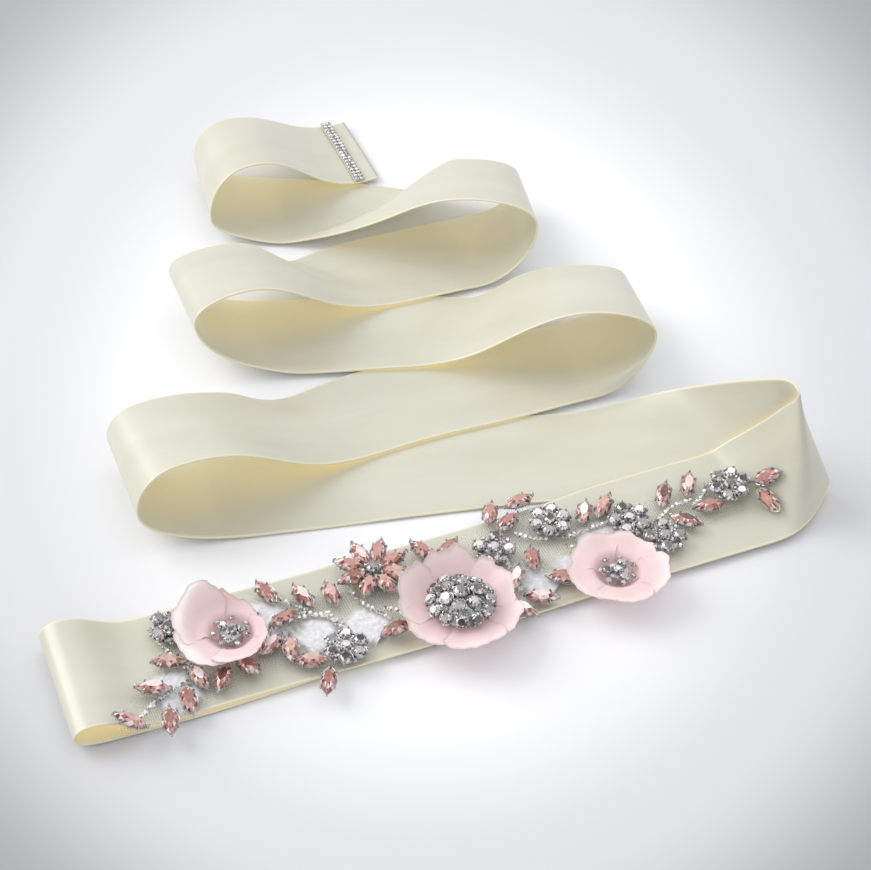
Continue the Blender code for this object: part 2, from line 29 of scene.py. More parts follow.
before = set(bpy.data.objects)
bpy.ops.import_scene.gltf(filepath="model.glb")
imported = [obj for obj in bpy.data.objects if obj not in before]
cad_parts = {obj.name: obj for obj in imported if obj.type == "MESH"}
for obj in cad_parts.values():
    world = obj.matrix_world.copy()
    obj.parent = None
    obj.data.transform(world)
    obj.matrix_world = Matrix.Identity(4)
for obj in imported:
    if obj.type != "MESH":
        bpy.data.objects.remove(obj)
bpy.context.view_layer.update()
rng = np.random.default_rng(7)
mm = 0.001

ribbon = {
    "width": 40.0, "thickness": 0.7, "layerLow": 0.5, "layerHigh": 1.8,
    "tailLength": 95.0, "tailSwing": 3.2, "tailHinge": 40.0, "tailBend": 30.0,
    "endLength": 80.0, "centreX": 117.02, "centreY": 147.14, "softening": 3,
    "softFrom": 14.0, "softTo": 85.0, "softPasses": 80,
    "step": 1.4, "columns": 17, "selvedgeSteps": 3,
    "ripple": 0.16, "rippleLength": 46.0,
}

# Lying turns: handedness, place, facing angle, shear, and the shape of the loop seen from its side
foldNames = ("hand", "x", "y", "axis", "shear", "lift", "belly", "back", "crown", "settle", "cone")
folds = {
    "turn1": (-1, 7.1, 12.6, 202.4, 0.4, 13.9, 4.0, 5.0, 8.5, 23.0, 0.1),
    "turn3": (-1, 16.1, 90.5, 201.1, 8.9, 34.3, 12.1, 11.4, 23.0, 71.1, -0.17),
    "turn4": (1, 178.4, 174.2, 10.5, 11.7, 34.7, 16.9, 14.1, 22.7, 62.7, -0.25),
    "turn5": (-1, 25.8, 169.8, 199.1, 12.2, 42.0, 18.9, 10.8, 23.8, 63.2, -0.22),
    "turn6": (1, 141.7, 233.0, 7.9, 14.6, 21.7, 16.1, 14.6, 22.3, 71.3, -0.25),
    "turn7": (-1, 24.5, 245.2, 194.3, 16.2, 32.4, 7.6, 12.8, 21.7, 48.7, -0.15),
}

# Upright turn: straight lines from the near to the far edge. Rows: distance along the near and
# the far edge, then x, y, z of the near and of the far point
rulings = (
    (-110, -111, 148.0, 51.3, 1.8, 131.4, 87.7, 1.8),
    (-91, -98, 165.6, 59.0, 1.8, 143.4, 93.0, 2.2),
    (-66, -80, 188.6, 68.8, 1.8, 160.0, 100.4, 3.8),
    (-46, -60, 207.0, 77.0, 1.8, 179.1, 108.3, 4.8),
    (-33, -43, 216.6, 81.2, 1.8, 195.6, 114.4, 5.8),
    (-28, -34, 220.0, 83.1, 1.8, 203.0, 115.4, 11.2),
    (-26, -22, 221.6, 84.3, 1.8, 212.4, 113.2, 22.0),
    (-24, -13, 223.2, 85.8, 1.8, 217.6, 109.8, 31.6),
    (-19, -4, 226.4, 89.6, 2.0, 219.8, 104.8, 39.4),
    (-9, 1, 230.6, 96.4, 2.7, 219.6, 106.4, 41.6),
    (2, 6, 234.5, 106.2, 4.4, 217.2, 111.4, 40.6),
    (13, 12, 227.0, 104.2, 2.2, 213.0, 116.0, 36.8),
    (19, 21, 222.2, 103.4, 0.9, 206.8, 123.0, 30.0),
    (27, 46, 214.8, 103.0, 0.5, 192.8, 136.6, 15.0),
    (50, 62, 194.2, 101.2, 0.5, 180.0, 139.0, 9.6),
    (76, 86, 169.5, 99.5, 0.5, 156.4, 138.2, 3.8),
    (100, 104, 146.7, 96.5, 0.5, 137.6, 135.6, 0.7),
    (120, 120, 127.3, 92.9, 0.5, 121.0, 132.4, 0.5),
)
rulingSteps = 12

# Stretches between turns. drop: share of the length where the near edge leaves the layer below
runNames = ("first", "last", "length", "drop")
runs = (
    ("turn1", "turn2", 258.0, 0.40),
    ("turn2", "turn3", 233.5, 0.40),
    ("turn3", "turn4", 199.6, 0.83),
    ("turn4", "turn5", 166.8, 0.66),
    ("turn5", "turn6", 146.2, 0.70),
    ("turn6", "turn7", 124.6, 0.66),
)
runBlend = {"from": 0.35, "to": 0.65, "middleDrop": 0.40, "farDrop": 0.25, "dropShare": 0.14}


def unit(vectors):
    return vectors / np.linalg.norm(vectors, axis=-1, keepdims=True)


def smooth(share):
    share = np.clip(share, 0.0, 1.0)
    return share * share * (3.0 - 2.0 * share)


def bezier(points, count):
    # cubic curve: each point weighted by its Bernstein polynomial
    t = np.linspace(0.0, 1.0, count)[:, None]
    a, b, c, d = (np.array(point, float) for point in points)
    return (1 - t) ** 3 * a + 3 * (1 - t) ** 2 * t * b + 3 * (1 - t) * t * t * c + t ** 3 * d


def foldProfile(fold, grow):
    # the loop from its side: it lifts off, rounds the outermost ruling, crowns and settles
    lift, back = fold["lift"] * grow, fold["back"] * grow
    belly, crown = fold["belly"] * grow, fold["crown"] * grow
    low, high, settle = ribbon["layerLow"], ribbon["layerHigh"], fold["settle"]
    rising = bezier(((-lift, low), (-0.4 * lift, low), (0, low + 0.45 * belly), (0, low + belly)), 40)
    over = bezier((
        (0, low + belly), (0, low + 0.45 * belly + 0.55 * crown),
        (-0.45 * back, low + crown), (-back, low + crown)), 40)
    falling = bezier((
        (-back, low + crown), (-back - 0.42 * settle, low + crown),
        (-back - 0.5 * settle, high), (-back - settle, high)), 40)
    points = np.vstack([rising, over[1:], falling[1:]])
    travel = np.concatenate([[0.0], np.cumsum(np.hypot(*np.diff(points, axis=0).T))])
    return travel - travel[len(rising) - 1], points


def foldSurface(fold, s, v):
    # sheared sheet on a cylinder whose profile is the loop
    travel, points = foldProfile(fold, 1.0 + fold["cone"] * v / (ribbon["width"] / 2))
    shear, axis = math.radians(fold["shear"]), math.radians(fold["axis"])
    around = s * math.cos(shear) - v * math.sin(shear)
    along = s * math.sin(shear) + v * math.cos(shear)
    inward = np.interp(around, travel, points[:, 0])
    inward = inward + np.minimum(around - travel[0], 0) - np.maximum(around - travel[-1], 0)
    height = np.interp(around, travel, points[:, 1])
    outX, outY = math.cos(axis), math.sin(axis)
    return np.column_stack([
        fold["x"] + inward * outX - along * outY * fold["hand"],
        fold["y"] + inward * outY + along * outX * fold["hand"],
        height])


def through(rows, steps):
    # smooth curve through rows: cubic pieces with the mean slope of both neighbours
    rows = np.array(rows, float)
    places = np.linspace(0, len(rows) - 1, (len(rows) - 1) * steps + 1)
    first = np.minimum(places.astype(int), len(rows) - 2)
    t = (places - first)[:, None]
    slopes = np.gradient(rows, axis=0)
    return (rows[first] * (1 + 2 * t) * (1 - t) ** 2 + slopes[first] * t * (1 - t) ** 2
            + rows[first + 1] * t * t * (3 - 2 * t) - slopes[first + 1] * t * t * (1 - t))


def ruledSurface(s, v):
    # finds the straight line through each place, and goes on level past the last ones
    lines = through(rulings, rulingSteps)
    share = v / ribbon["width"] + 0.5
    stations = lines[:, 0] * (1 - share) + lines[:, 1] * share
    near, far = lines[:, 2:5], lines[:, 5:8]
    points = near * (1 - share) + far * share
    middle = (near + far) / 2
    level = np.array([1.0, 1.0, 0.0])
    first = (middle[rulingSteps] - middle[0]) * level
    last = (middle[-1] - middle[-1 - rulingSteps]) * level
    found = np.column_stack([np.interp(s, stations, column) for column in points.T])
    before = np.minimum(s - stations[0], 0)[:, None]
    after = np.maximum(s - stations[-1], 0)[:, None]
    return found + before * unit(first) + after * unit(last)


def turnSurface(name, s, v):
    if name == "turn2":
        return ruledSurface(s, v)
    return foldSurface(dict(zip(foldNames, folds[name])), s, v)


def runSurface(run, s, v):
    # the stretch follows its first turn at its start and its last turn at its end
    first = turnSurface(run["first"], s, v)
    last = turnSurface(run["last"], s - run["length"], v)
    share = s / run["length"]
    plan = smooth((share - runBlend["from"]) / (runBlend["to"] - runBlend["from"]))
    start = np.interp(v, (-20, -5, 20), (run["drop"], runBlend["middleDrop"], runBlend["farDrop"]))
    drop = smooth((share - start) / runBlend["dropShare"])
    weight = np.column_stack([plan, plan, drop])
    return first * (1 - weight) + last * weight


def tailSurface(s, v):
    # the tail swings towards the far side, so that it lies under the front run
    fold = dict(zip(foldNames, folds["turn1"]))
    points = foldSurface(fold, s, v)
    hinge = foldSurface(fold, np.array([-ribbon["tailHinge"]]), 0.0)[0]
    swung = smooth((-s - ribbon["tailHinge"]) / ribbon["tailBend"] + 0.5)
    turn = math.radians(ribbon["tailSwing"]) * swung
    x, y = points[:, 0] - hinge[0], points[:, 1] - hinge[1]
    points[:, 0] = hinge[0] + x * np.cos(turn) - y * np.sin(turn)
    points[:, 1] = hinge[1] + x * np.sin(turn) + y * np.cos(turn)
    return points


def ribbonStretches():
    # every stretch in order, as a surface with its first and last distance
    last = dict(zip(foldNames, folds["turn7"]))
    stretches = [(tailSurface, -ribbon["tailLength"], 0.0)]
    for row in runs:
        run = dict(zip(runNames, row))
        stretches.append((lambda s, v, run=run: runSurface(run, s, v), 0.0, run["length"]))
    stretches.append((lambda s, v: foldSurface(last, s, v), 0.0, ribbon["endLength"]))
    return stretches


def ribbonGrid(across):
    # points of the whole ribbon, one row for each place along it, with the distance travelled
    rows, travelled, start = [], [], 0.0
    stretches = ribbonStretches()
    for number, (surface, begin, end) in enumerate(stretches, 1):
        s = np.linspace(begin, end, int((end - begin) / ribbon["step"]) + 1)
        if number < len(stretches):
            s = s[:-1]
        rows.append(np.stack([surface(s, float(v)) for v in across], axis=1))
        travelled.append(start + s - begin)
        start += end - begin
    grid = np.vstack(rows)
    # satin bends softly: each place moves towards the mean of its neighbours
    travel = np.concatenate(travelled)
    bend = ribbon["tailLength"] + runs[0][2]
    soft = (travel > bend + ribbon["softFrom"]) & (travel < bend + ribbon["softTo"])
    for turn in range(ribbon["softPasses"]):
        share = 1.0 if turn < ribbon["softening"] else soft[1:-1, None, None]
        grid[1:-1] += share * ((grid[:-2] + 2 * grid[1:-1] + grid[2:]) / 4 - grid[1:-1])
    return grid, travel


def gridNormals(grid):
    return unit(np.cross(np.gradient(grid, axis=0), np.gradient(grid, axis=1)))


def tube(rows, columns, closeRows=False, closeColumns=False):
    # quads of a grid, wrapped round where it is closed
    r = np.arange(rows if closeRows else rows - 1)[:, None]
    c = np.arange(columns if closeColumns else columns - 1)[None, :]
    nextR, nextC = (r + 1) % rows, (c + 1) % columns
    corners = np.stack(np.broadcast_arrays(
        r * columns + c, r * columns + nextC, nextR * columns + nextC, nextR * columns + c), axis=-1)
    return corners.reshape(-1, 4)


def halves(quads):
    return np.vstack([quads[:, [0, 1, 2]], quads[:, [0, 2, 3]]])


def shellFaces(rows, columns):
    # a thin shell: its upper side, its lower side, and the rim between them
    sheet, size = tube(rows, columns), rows * columns
    rim = np.concatenate([
        np.arange(columns), np.arange(1, rows) * columns + columns - 1,
        (rows - 1) * columns + np.arange(columns - 1)[::-1], np.arange(1, rows - 1)[::-1] * columns])
    after = np.roll(rim, -1)
    edge = np.column_stack([rim + size, after + size, after, rim])
    return np.vstack([sheet[:, ::-1], sheet + size, edge])


def newPiece(name, points, faceSets, finish, isSmooth=True, uv=None, paintedLight=None):
    # points in mm in the layout; faceSets: arrays of equal-sided faces; uv for each point, painted
    # facet light for each face
    points = (np.asarray(points, float) - [ribbon["centreX"], ribbon["centreY"], 0.0]) * mm
    mesh = bpy.data.meshes.new(name)
    mesh.vertices.add(len(points))
    mesh.vertices.foreach_set("co", points.astype(np.float32).ravel())
    loops = np.concatenate([np.asarray(faces).ravel() for faces in faceSets])
    sizes = np.concatenate([np.full(len(faces), np.asarray(faces).shape[1]) for faces in faceSets])
    mesh.loops.add(len(loops))
    mesh.loops.foreach_set("vertex_index", loops.astype(np.int32))
    mesh.polygons.add(len(sizes))
    starts = np.concatenate([[0], np.cumsum(sizes)[:-1]])
    mesh.polygons.foreach_set("loop_start", starts.astype(np.int32))
    mesh.update(calc_edges=True)
    mesh.validate()
    mesh.polygons.foreach_set("use_smooth", np.full(len(mesh.polygons), isSmooth))
    if uv is not None:
        layer = mesh.uv_layers.new(name="cloth")
        layer.data.foreach_set("uv", np.asarray(uv, np.float32)[loops].ravel())
    if paintedLight is not None:
        layer = mesh.attributes.new("paintedFacetLight", "FLOAT", "FACE")
        layer.data.foreach_set("value", np.asarray(paintedLight, np.float32))
    mesh.materials.append(finish)
    piece = bpy.data.objects.new(name, mesh)
    bpy.context.scene.collection.objects.link(piece)
    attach(piece, "root")
    return piece


def newFinish(name):
    finish = bpy.data.materials.new(name)
    finish.use_nodes = True
    nodes, links = finish.node_tree.nodes, finish.node_tree.links

    def join(source, output, target, entry):
        links.new(source.outputs[output], target.inputs[entry])

    return finish, nodes, join, nodes["Principled BSDF"]


def give(node, values):
    for name, value in values.items():
        node.inputs[name].default_value = value


def addNode(nodes, kind, **settings):
    node = nodes.new(kind)
    for key, value in settings.items():
        if key in node.inputs:
            node.inputs[key].default_value = value
        else:
            setattr(node, key, value)
    return node


def ramp(nodes, stops):
    node = nodes.new("ShaderNodeValToRGB")
    elements = node.color_ramp.elements
    elements[0].position, elements[0].color = stops[0][0], (*stops[0][1], 1)
    elements[1].position, elements[1].color = stops[-1][0], (*stops[-1][1], 1)
    for place, colour in stops[1:-1]:
        element = elements.new(place)
        element.color = (*colour, 1)
    return node


print("satin finish")
satinLook = {
    "bright": (0.665, 0.65, 0.535), "dull": (0.605, 0.59, 0.47), "selvedge": (0.80, 0.75, 0.56),
    # painted bounce light: a golden base colour and a glow where the loops close in
    "paintedBounceColour": (0.93, 0.84, 0.56), "paintedBounceReach": 0.03, "paintedBounceGlow": 0.19,
    "paintedBounceFrom": 0.75, "selvedgeFrom": 0.0189, "selvedgeTo": 0.0197, "cloud": (14.0, 60.0, 1.0),
    "roughness": 0.33, "sheen": 0.25, "threadsPerMetre": 2600.0, "weaveBump": 0.06,
}


def satinFinish():
    finish, nodes, join, shader = newFinish("satin")
    uv = addNode(nodes, "ShaderNodeUVMap", uv_map="cloth")
    parts = addNode(nodes, "ShaderNodeSeparateXYZ")
    join(uv, "UV", parts, "Vector")
    # soft tone changes, drawn out along the ribbon
    stretch = addNode(nodes, "ShaderNodeMapping", Scale=satinLook["cloud"])
    join(uv, "UV", stretch, "Vector")
    cloud = addNode(nodes, "ShaderNodeTexNoise", Scale=1.0, Detail=5.0, Roughness=0.55)
    join(stretch, "Vector", cloud, "Vector")
    tone = ramp(nodes, ((0.32, satinLook["dull"]), (0.68, satinLook["bright"])))
    join(cloud, "Fac", tone, "Fac")
    # woven edge: a creamier line along both sides
    edge = addNode(nodes, "ShaderNodeMath", operation="ABSOLUTE")
    join(parts, "Y", edge, 0)
    isEdge = addNode(nodes, "ShaderNodeMapRange")
    give(isEdge, {"From Min": satinLook["selvedgeFrom"], "From Max": satinLook["selvedgeTo"]})
    join(edge, 0, isEdge, "Value")
    blend = addNode(nodes, "ShaderNodeMix", data_type="RGBA")
    join(isEdge, "Result", blend, "Factor")
    join(tone, "Color", blend, "A")
    blend.inputs["B"].default_value = (*satinLook["selvedge"], 1)
    # painted bounce light: the base colour turns golden where the loops close in, standing for light
    # that bounces from satin to satin
    openness = addNode(nodes, "ShaderNodeAmbientOcclusion", samples=8, only_local=True)
    openness.inputs["Distance"].default_value = satinLook["paintedBounceReach"]
    depth = addNode(nodes, "ShaderNodeMapRange")
    give(depth, {"From Min": satinLook["paintedBounceFrom"], "From Max": 0.0})
    join(openness, "AO", depth, "Value")
    paintedBounce = addNode(nodes, "ShaderNodeMix", data_type="RGBA")
    join(depth, "Result", paintedBounce, "Factor")
    join(blend, "Result", paintedBounce, "A")
    paintedBounce.inputs["B"].default_value = (*satinLook["paintedBounceColour"], 1)
    join(paintedBounce, "Result", shader, "Base Color")
    # painted glow where the loops close in, standing for light that comes through the thin cloth into
    # the loops
    paintedGlow = addNode(nodes, "ShaderNodeMath", operation="MULTIPLY")
    paintedGlow.inputs[1].default_value = satinLook["paintedBounceGlow"]
    join(depth, "Result", paintedGlow, 0)
    join(paintedGlow, 0, shader, "Emission Strength")
    shader.inputs["Emission Color"].default_value = (*satinLook["paintedBounceColour"], 1)
    # fine weave: warp threads along the ribbon, finer weft across it
    rate = satinLook["threadsPerMetre"]
    threads = addNode(nodes, "ShaderNodeMapping", Scale=(rate / 5, rate, 1.0))
    join(uv, "UV", threads, "Vector")
    weave = addNode(nodes, "ShaderNodeTexNoise", Scale=1.0, Detail=2.0, Roughness=0.5)
    join(threads, "Vector", weave, "Vector")
    bump = addNode(nodes, "ShaderNodeBump", Strength=satinLook["weaveBump"], Distance=0.0001)
    join(weave, "Fac", bump, "Height")
    join(bump, "Normal", shader, "Normal")
    gloss = addNode(nodes, "ShaderNodeMapRange")
    give(gloss, {"To Min": satinLook["roughness"] - 0.05, "To Max": satinLook["roughness"] + 0.09})
    join(cloud, "Fac", gloss, "Value")
    join(gloss, "Result", shader, "Roughness")
    give(shader, {"Sheen Weight": satinLook["sheen"], "Sheen Roughness": 0.35,
                  "Specular IOR Level": 0.85})
    return finish


satin = satinFinish()

print("satin ribbon")


def makeRibbon():
    # a thin wall round the middle layer: top columns, a rounded selvedge, bottom columns, a selvedge
    half = ribbon["width"] / 2
    thin = ribbon["thickness"] / 2
    across = (half - thin) * np.sin(np.linspace(-0.5, 0.5, ribbon["columns"]) * math.pi)
    grid, travelled = ribbonGrid(across)
    normal = gridNormals(grid)
    side = unit(np.gradient(grid, axis=1))
    # long soft undulations, none where a turn bends the cloth
    wave = ribbon["ripple"] * np.sin(2 * math.pi * travelled / ribbon["rippleLength"])[:, None]
    wave = wave * np.sin(across / half * 2.2 + travelled[:, None] * 0.031)
    bend = np.linalg.norm(np.gradient(normal, axis=0), axis=2)
    grid = grid + normal * (wave * np.exp(-(bend * 12) ** 2))[:, :, None]
    top, bottom = grid + normal * thin, grid - normal * thin
    turns = np.linspace(0.5, -0.5, ribbon["selvedgeSteps"] + 2)[1:-1] * math.pi
    farEdge, nearEdge = (
        np.stack([grid[:, column] + sign * thin * (
            math.cos(a) * side[:, column] + math.sin(a) * normal[:, column]) for a in turns], axis=1)
        for column, sign in ((-1, 1), (0, -1)))
    ring = np.concatenate([top, farEdge, bottom[:, ::-1], nearEdge], axis=1)
    place = np.concatenate([
        across, np.full(len(turns), half), across[::-1], np.full(len(turns), -half)])
    count = ring.shape[1]
    quads = tube(len(ring), count, closeColumns=True)[:, ::-1]
    lastRow = (len(ring) - 1) * count
    caps = [np.arange(count)[None, :], (lastRow + np.arange(count))[::-1][None, :]]
    uv = np.stack(np.broadcast_arrays(travelled[:, None] * mm, place[None, :] * mm), axis=-1)
    piece = newPiece("satin_ribbon", ring.reshape(-1, 3), [quads] + caps, satin,
                     uv=uv.reshape(-1, 2))
    nodes = ["ribbon_tail", "ribbon_front", "ribbon_end"] + [f"ribbon_run_{n}" for n in range(2, 7)]
    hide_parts(*nodes)


makeRibbon()

print("cut stones")
stoneLook = {
    "length": 10.0, "width": 4.8, "crown": 3.0, "sides": 16,
    "roundRadius": 2.1, "roundCrown": 2.2, "roundSides": 12,
    "prongRadius": 0.27, "wallHeight": 1.1, "tilt": 5.0,
}
# rows: distance along the front run, across it (far side positive), turn in degrees
pointedStones = (
    (36.2, -1.9, -15), (28.6, -10.3, -19), (17.1, -21.5, -25), (29.9, -23.0, 78),
    (37.0, -17.2, 87), (42.3, -10.2, 99), (48.4, -12.9, 56), (56.3, -11.2, -63),
    (70.6, 13.7, -75), (80.1, 8.8, -74), (88.0, 6.6, -88), (71.9, 2.2, 17),
    (65.0, -6.0, 34), (69.7, -9.5, 77), (73.7, -15.8, -21), (75.4, -24.5, 65),
    (100.3, -12.9, 11), (119.2, 13.4, -67), (126.6, 11.3, 36), (144.0, 20.1, 59),
    (154.1, 21.4, 9), (147.3, 14.6, 28), (140.6, -6.9, 55), (148.3, -2.1, 73),
    (153.5, -12.1, -23), (144.4, -17.1, -28), (137.3, -19.3, -54), (170.4, 9.2, 57),
    (177.1, 9.3, 42), (195.5, 6.7, 55), (204.3, 7.8, 59), (206.7, -2.3, -6),
    (197.5, -5.2, -41), (231.6, 1.4, -8), (229.2, -6.3, -70),
)
# rows: distance, across, number of round stones, turn
stoneGroups = {
    "crystals_1": (40.4, 10.4, 5, 30), "crystals_2": (84.4, -14.6, 7, 10),
    "crystals_3": (139.2, 6.1, 5, 60), "crystals_4": (159.3, 9.9, 7, 0),
    "crystals_5": (181.7, 1.4, 6, 20), "crystals_6": (188.8, -8.7, 5, 70),
    "crystals_7": (216.6, 2.7, 7, 0),
}
groupPitch = 4.5
layers = {"bare": 0.8, "net": 1.1, "netLift": 0.3, "stones": 2.4, "petalFoot": 2.85, "petalRise": 3.8,
          "petalCup": 1.6, "domeFoot": 8.25, "centreFoot": 3.65}


def pointedOutline(t):
    # two shallow arcs that meet in points
    return np.cos(t), np.sin(t) * np.abs(np.sin(t)) ** 0.75


def roundOutline(t):
    return np.cos(t), np.sin(t)


def ringAt(outline, sides, halfStep, length, width, scale, height):
    t = 2 * math.pi * (np.arange(sides) + 0.5 * halfStep) / sides
    x, y = outline(t)
    return np.column_stack([x * scale * length / 2, y * scale * width / 2, np.full(sides, height)])


def gemShape(outline, sides, length, width, levels):
    # rings of a cut stone, every other one turned by half a step, closed by a fan at both ends
    rings = [ringAt(outline, sides, half, length, width, scale, height)
             for scale, height, half in levels]
    low, high = [[0, 0, levels[0][1]]], [[0, 0, levels[-1][1]]]
    points = np.vstack(rings + [low, high])
    i = np.arange(sides)
    j = (i + 1) % sides
    count = len(levels)
    triangles, facets, number = [], [], 0
    for level in range(count - 1):
        a, b = level * sides, (level + 1) * sides
        same = levels[level + 1][2] == levels[level][2]
        if levels[level + 1][2] > levels[level][2]:
            pair = (a + i, a + j, b + i), (b + i, a + j, b + j)
        else:
            pair = (a + i, a + j, b + j), (a + i, b + j, b + i)
        triangles += [np.column_stack(corners) for corners in pair]
        facets += [number + i, number + i + (0 if same else sides)]
        number += sides if same else 2 * sides
    bottom, top = count * sides, count * sides + 1
    b = (count - 1) * sides
    triangles += [np.column_stack([np.full(sides, bottom), j, i]),
                  np.column_stack([b + i, b + j, np.full(sides, top)])]
    facets += [np.full(sides, number), np.full(sides, number + 1)]
    return points, np.vstack(triangles), np.concatenate(facets)


def cupShape(outline, sides, length, width):
    # low metal wall round the stone, a closed ring with four corners in its section
    wall = stoneLook["wallHeight"]
    profile = ((0.80, 0.0), (1.03, 0.4), (1.07, wall), (0.93, wall - 0.1))
    rings = [ringAt(outline, sides, 0, length, width, scale, height) for scale, height in profile]
    quads = tube(len(profile), sides, closeRows=True, closeColumns=True)
    return np.vstack(rings), halves(quads)


def sweep(path, radii, sides):
    # round bar along a path: a ring square to the path at each of its points
    path = np.asarray(path, float)
    ahead = unit(np.gradient(path, axis=0))
    first = unit(np.cross(ahead, [0.31, 0.17, 0.93]))
    second = np.cross(ahead, first)
    t = 2 * math.pi * np.arange(sides) / sides
    ring = np.cos(t)[None, :, None] * first[:, None] + np.sin(t)[None, :, None] * second[:, None]
    points = (path[:, None] + np.asarray(radii, float)[:, None, None] * ring).reshape(-1, 3)
    quads = tube(len(path), sides, closeColumns=True)
    last = (len(path) - 1) * sides
    i = np.arange(1, sides - 1)
    ends = [np.column_stack([i, i + 1, 0 * i]), np.column_stack([i + 1, i, 0 * i]) + last]
    return points, np.vstack([halves(quads)] + ends)


def prongShape(outline, length, width, height, angles):
    # metal fingers that rise from the wall and bend over the stone's edge
    parts = []
    for angle in angles:
        x, y = outline(np.array([math.radians(angle)]))
        spot = np.array([x[0] * length / 2, y[0] * width / 2])
        inward = -unit(spot)
        steps = ((-0.25, 0.3), (-0.3, 0.5 * height), (-0.12, 0.72 * height), (0.35, 0.88 * height))
        path = [(*(spot + inward * step), z) for step, z in steps]
        parts.append(sweep(path, np.array([1, 1, 1, 0.7]) * stoneLook["prongRadius"], 5))
    return joinShapes(parts)


def joinShapes(parts):
    points, faces, start = [], [], 0
    for somePoints, someFaces in parts:
        points.append(somePoints)
        faces.append(someFaces + start)
        start += len(somePoints)
    return np.vstack(points), np.vstack(faces)


def spread(shape, frames, scales=None):
    # copies of one shape, one for each frame, with faces renumbered
    points, faces = shape[0], shape[1]
    frames = np.asarray(frames)
    sized = points[None] * (np.ones(len(frames)) if scales is None else scales)[:, None, None]
    placed = np.einsum("nij,npj->npi", frames[:, :3, :3], sized) + frames[:, None, :3, 3]
    faces = faces[None] + (np.arange(len(frames)) * len(points))[:, None, None]
    return placed.reshape(-1, 3), faces.reshape(-1, faces.shape[2])


def paintedFacetLights(facets, copies):
    # painted facet light: most facets between dark and light, some nearly black as painted shade and
    # some bright as painted glints
    shades = rng.uniform(0.22, 0.8, (copies, facets.max() + 1))
    luck = rng.random(shades.shape)
    shades = np.where(luck < 0.16, rng.uniform(0.0, 0.15, shades.shape), shades)
    shades = np.where(luck > 0.82, rng.uniform(0.86, 1.0, shades.shape), shades)
    return shades[:, facets].ravel()


frontRun = dict(zip(runNames, runs[0]))


def frontPoint(s, v):
    return runSurface(frontRun, np.array([float(s)]), v)[0]


def frontAxes(s, v):
    here = frontPoint(s, v)
    along = unit(frontPoint(s + 0.5, v) - here)
    up = unit(np.cross(along, frontPoint(s, v + 0.5) - here))
    return here, along, np.cross(up, along), up


def frameAt(first, up, spot):
    turned = np.eye(4)
    turned[:3, :3] = np.column_stack([first, np.cross(up, first), up])
    turned[:3, 3] = spot
    return turned


def onFront(s, v, angle, height, reach=5.0):
    # frame of a piece on the front run, lifted where the ribbon curves up under its edge
    here, along, across, up = frontAxes(s, v)
    turn = math.radians(angle)
    first = along * math.cos(turn) + across * math.sin(turn)
    sides = turn + np.arange(8) * math.pi / 4
    bulge = max(0.0, max((frontPoint(s + reach * math.cos(side), v + reach * math.sin(side)) - here) @ up
                         for side in sides))
    return frameAt(first, up, here + up * (height + bulge))


def shifted(turned, x, y, z, lean=0.0, spin=0.0):
    # the frame moved by x, y, z, then spun about its upright and leant outwards
    c, d = math.cos(spin), math.sin(spin)
    e, f = math.cos(lean), math.sin(lean)
    local = np.array([[c * e, -d, c * f, x], [d * e, c, d * f, y], [-f, 0, e, z], [0, 0, 0, 1.0]])
    return turned @ local


def wobble(turned, most):
    # a stone never sits quite level in its setting
    lean, turn = np.radians(rng.uniform(0, most)), rng.uniform(0, 2 * math.pi)
    return shifted(shifted(turned, 0, 0, 0, lean, turn), 0, 0, 0, 0, -turn)


def stoneFinish(name, stops, metallic, roughness):
    finish, nodes, join, shader = newFinish(name)
    # the base colour is painted light: each facet's painted value and a fine sparkle noise pick a tone
    # from dark to white, standing for reflections and glints in the cut stone
    paintedLight = addNode(nodes, "ShaderNodeAttribute", attribute_name="paintedFacetLight")
    place = addNode(nodes, "ShaderNodeTexCoord")
    paintedSparkle = addNode(nodes, "ShaderNodeTexNoise", Scale=900.0, Detail=1.0)
    join(place, "Object", paintedSparkle, "Vector")
    mixed = addNode(nodes, "ShaderNodeMath", operation="MULTIPLY_ADD")
    mixed.inputs[1].default_value = 0.35
    join(paintedSparkle, "Fac", mixed, 0)
    join(paintedLight, "Fac", mixed, 2)
    centred = addNode(nodes, "ShaderNodeMath", operation="SUBTRACT")
    centred.inputs[1].default_value = 0.175
    join(mixed, 0, centred, 0)
    tone = ramp(nodes, stops)
    join(centred, 0, tone, "Fac")
    join(tone, "Color", shader, "Base Color")
    give(shader, {"Metallic": metallic, "Roughness": roughness, "Coat Weight": 0.8,
                  "Coat Roughness": 0.04})
    return finish


def silverFinish():
    finish, nodes, join, shader = newFinish("silver")
    place = addNode(nodes, "ShaderNodeTexCoord")
    wear = addNode(nodes, "ShaderNodeTexNoise", Scale=500.0, Detail=3.0)
    join(place, "Object", wear, "Vector")
    tone = ramp(nodes, ((0.3, (0.30, 0.30, 0.31)), (0.7, (0.66, 0.66, 0.68))))
    join(wear, "Fac", tone, "Fac")
    join(tone, "Color", shader, "Base Color")
    give(shader, {"Metallic": 0.9, "Roughness": 0.28})
    return finish


# tones for the painted facet light: the rose hue is the stone's own, its near-black and white facets are
# painted shade and reflection; the clear stone's greys are painted reflection
rose = stoneFinish("rose_stone", (
    (0.0, (0.10, 0.035, 0.03)), (0.3, (0.36, 0.155, 0.12)), (0.6, (0.62, 0.33, 0.275)),
    (0.85, (0.85, 0.62, 0.57)), (1.0, (1.0, 0.96, 0.95))), 0.25, 0.1)
clear = stoneFinish("clear_stone", (
    (0.0, (0.02, 0.018, 0.016)), (0.3, (0.17, 0.162, 0.15)), (0.6, (0.47, 0.455, 0.43)),
    (0.85, (0.86, 0.845, 0.81)), (1.0, (1.0, 1.0, 0.99))), 0.45, 0.08)
silver = silverFinish()

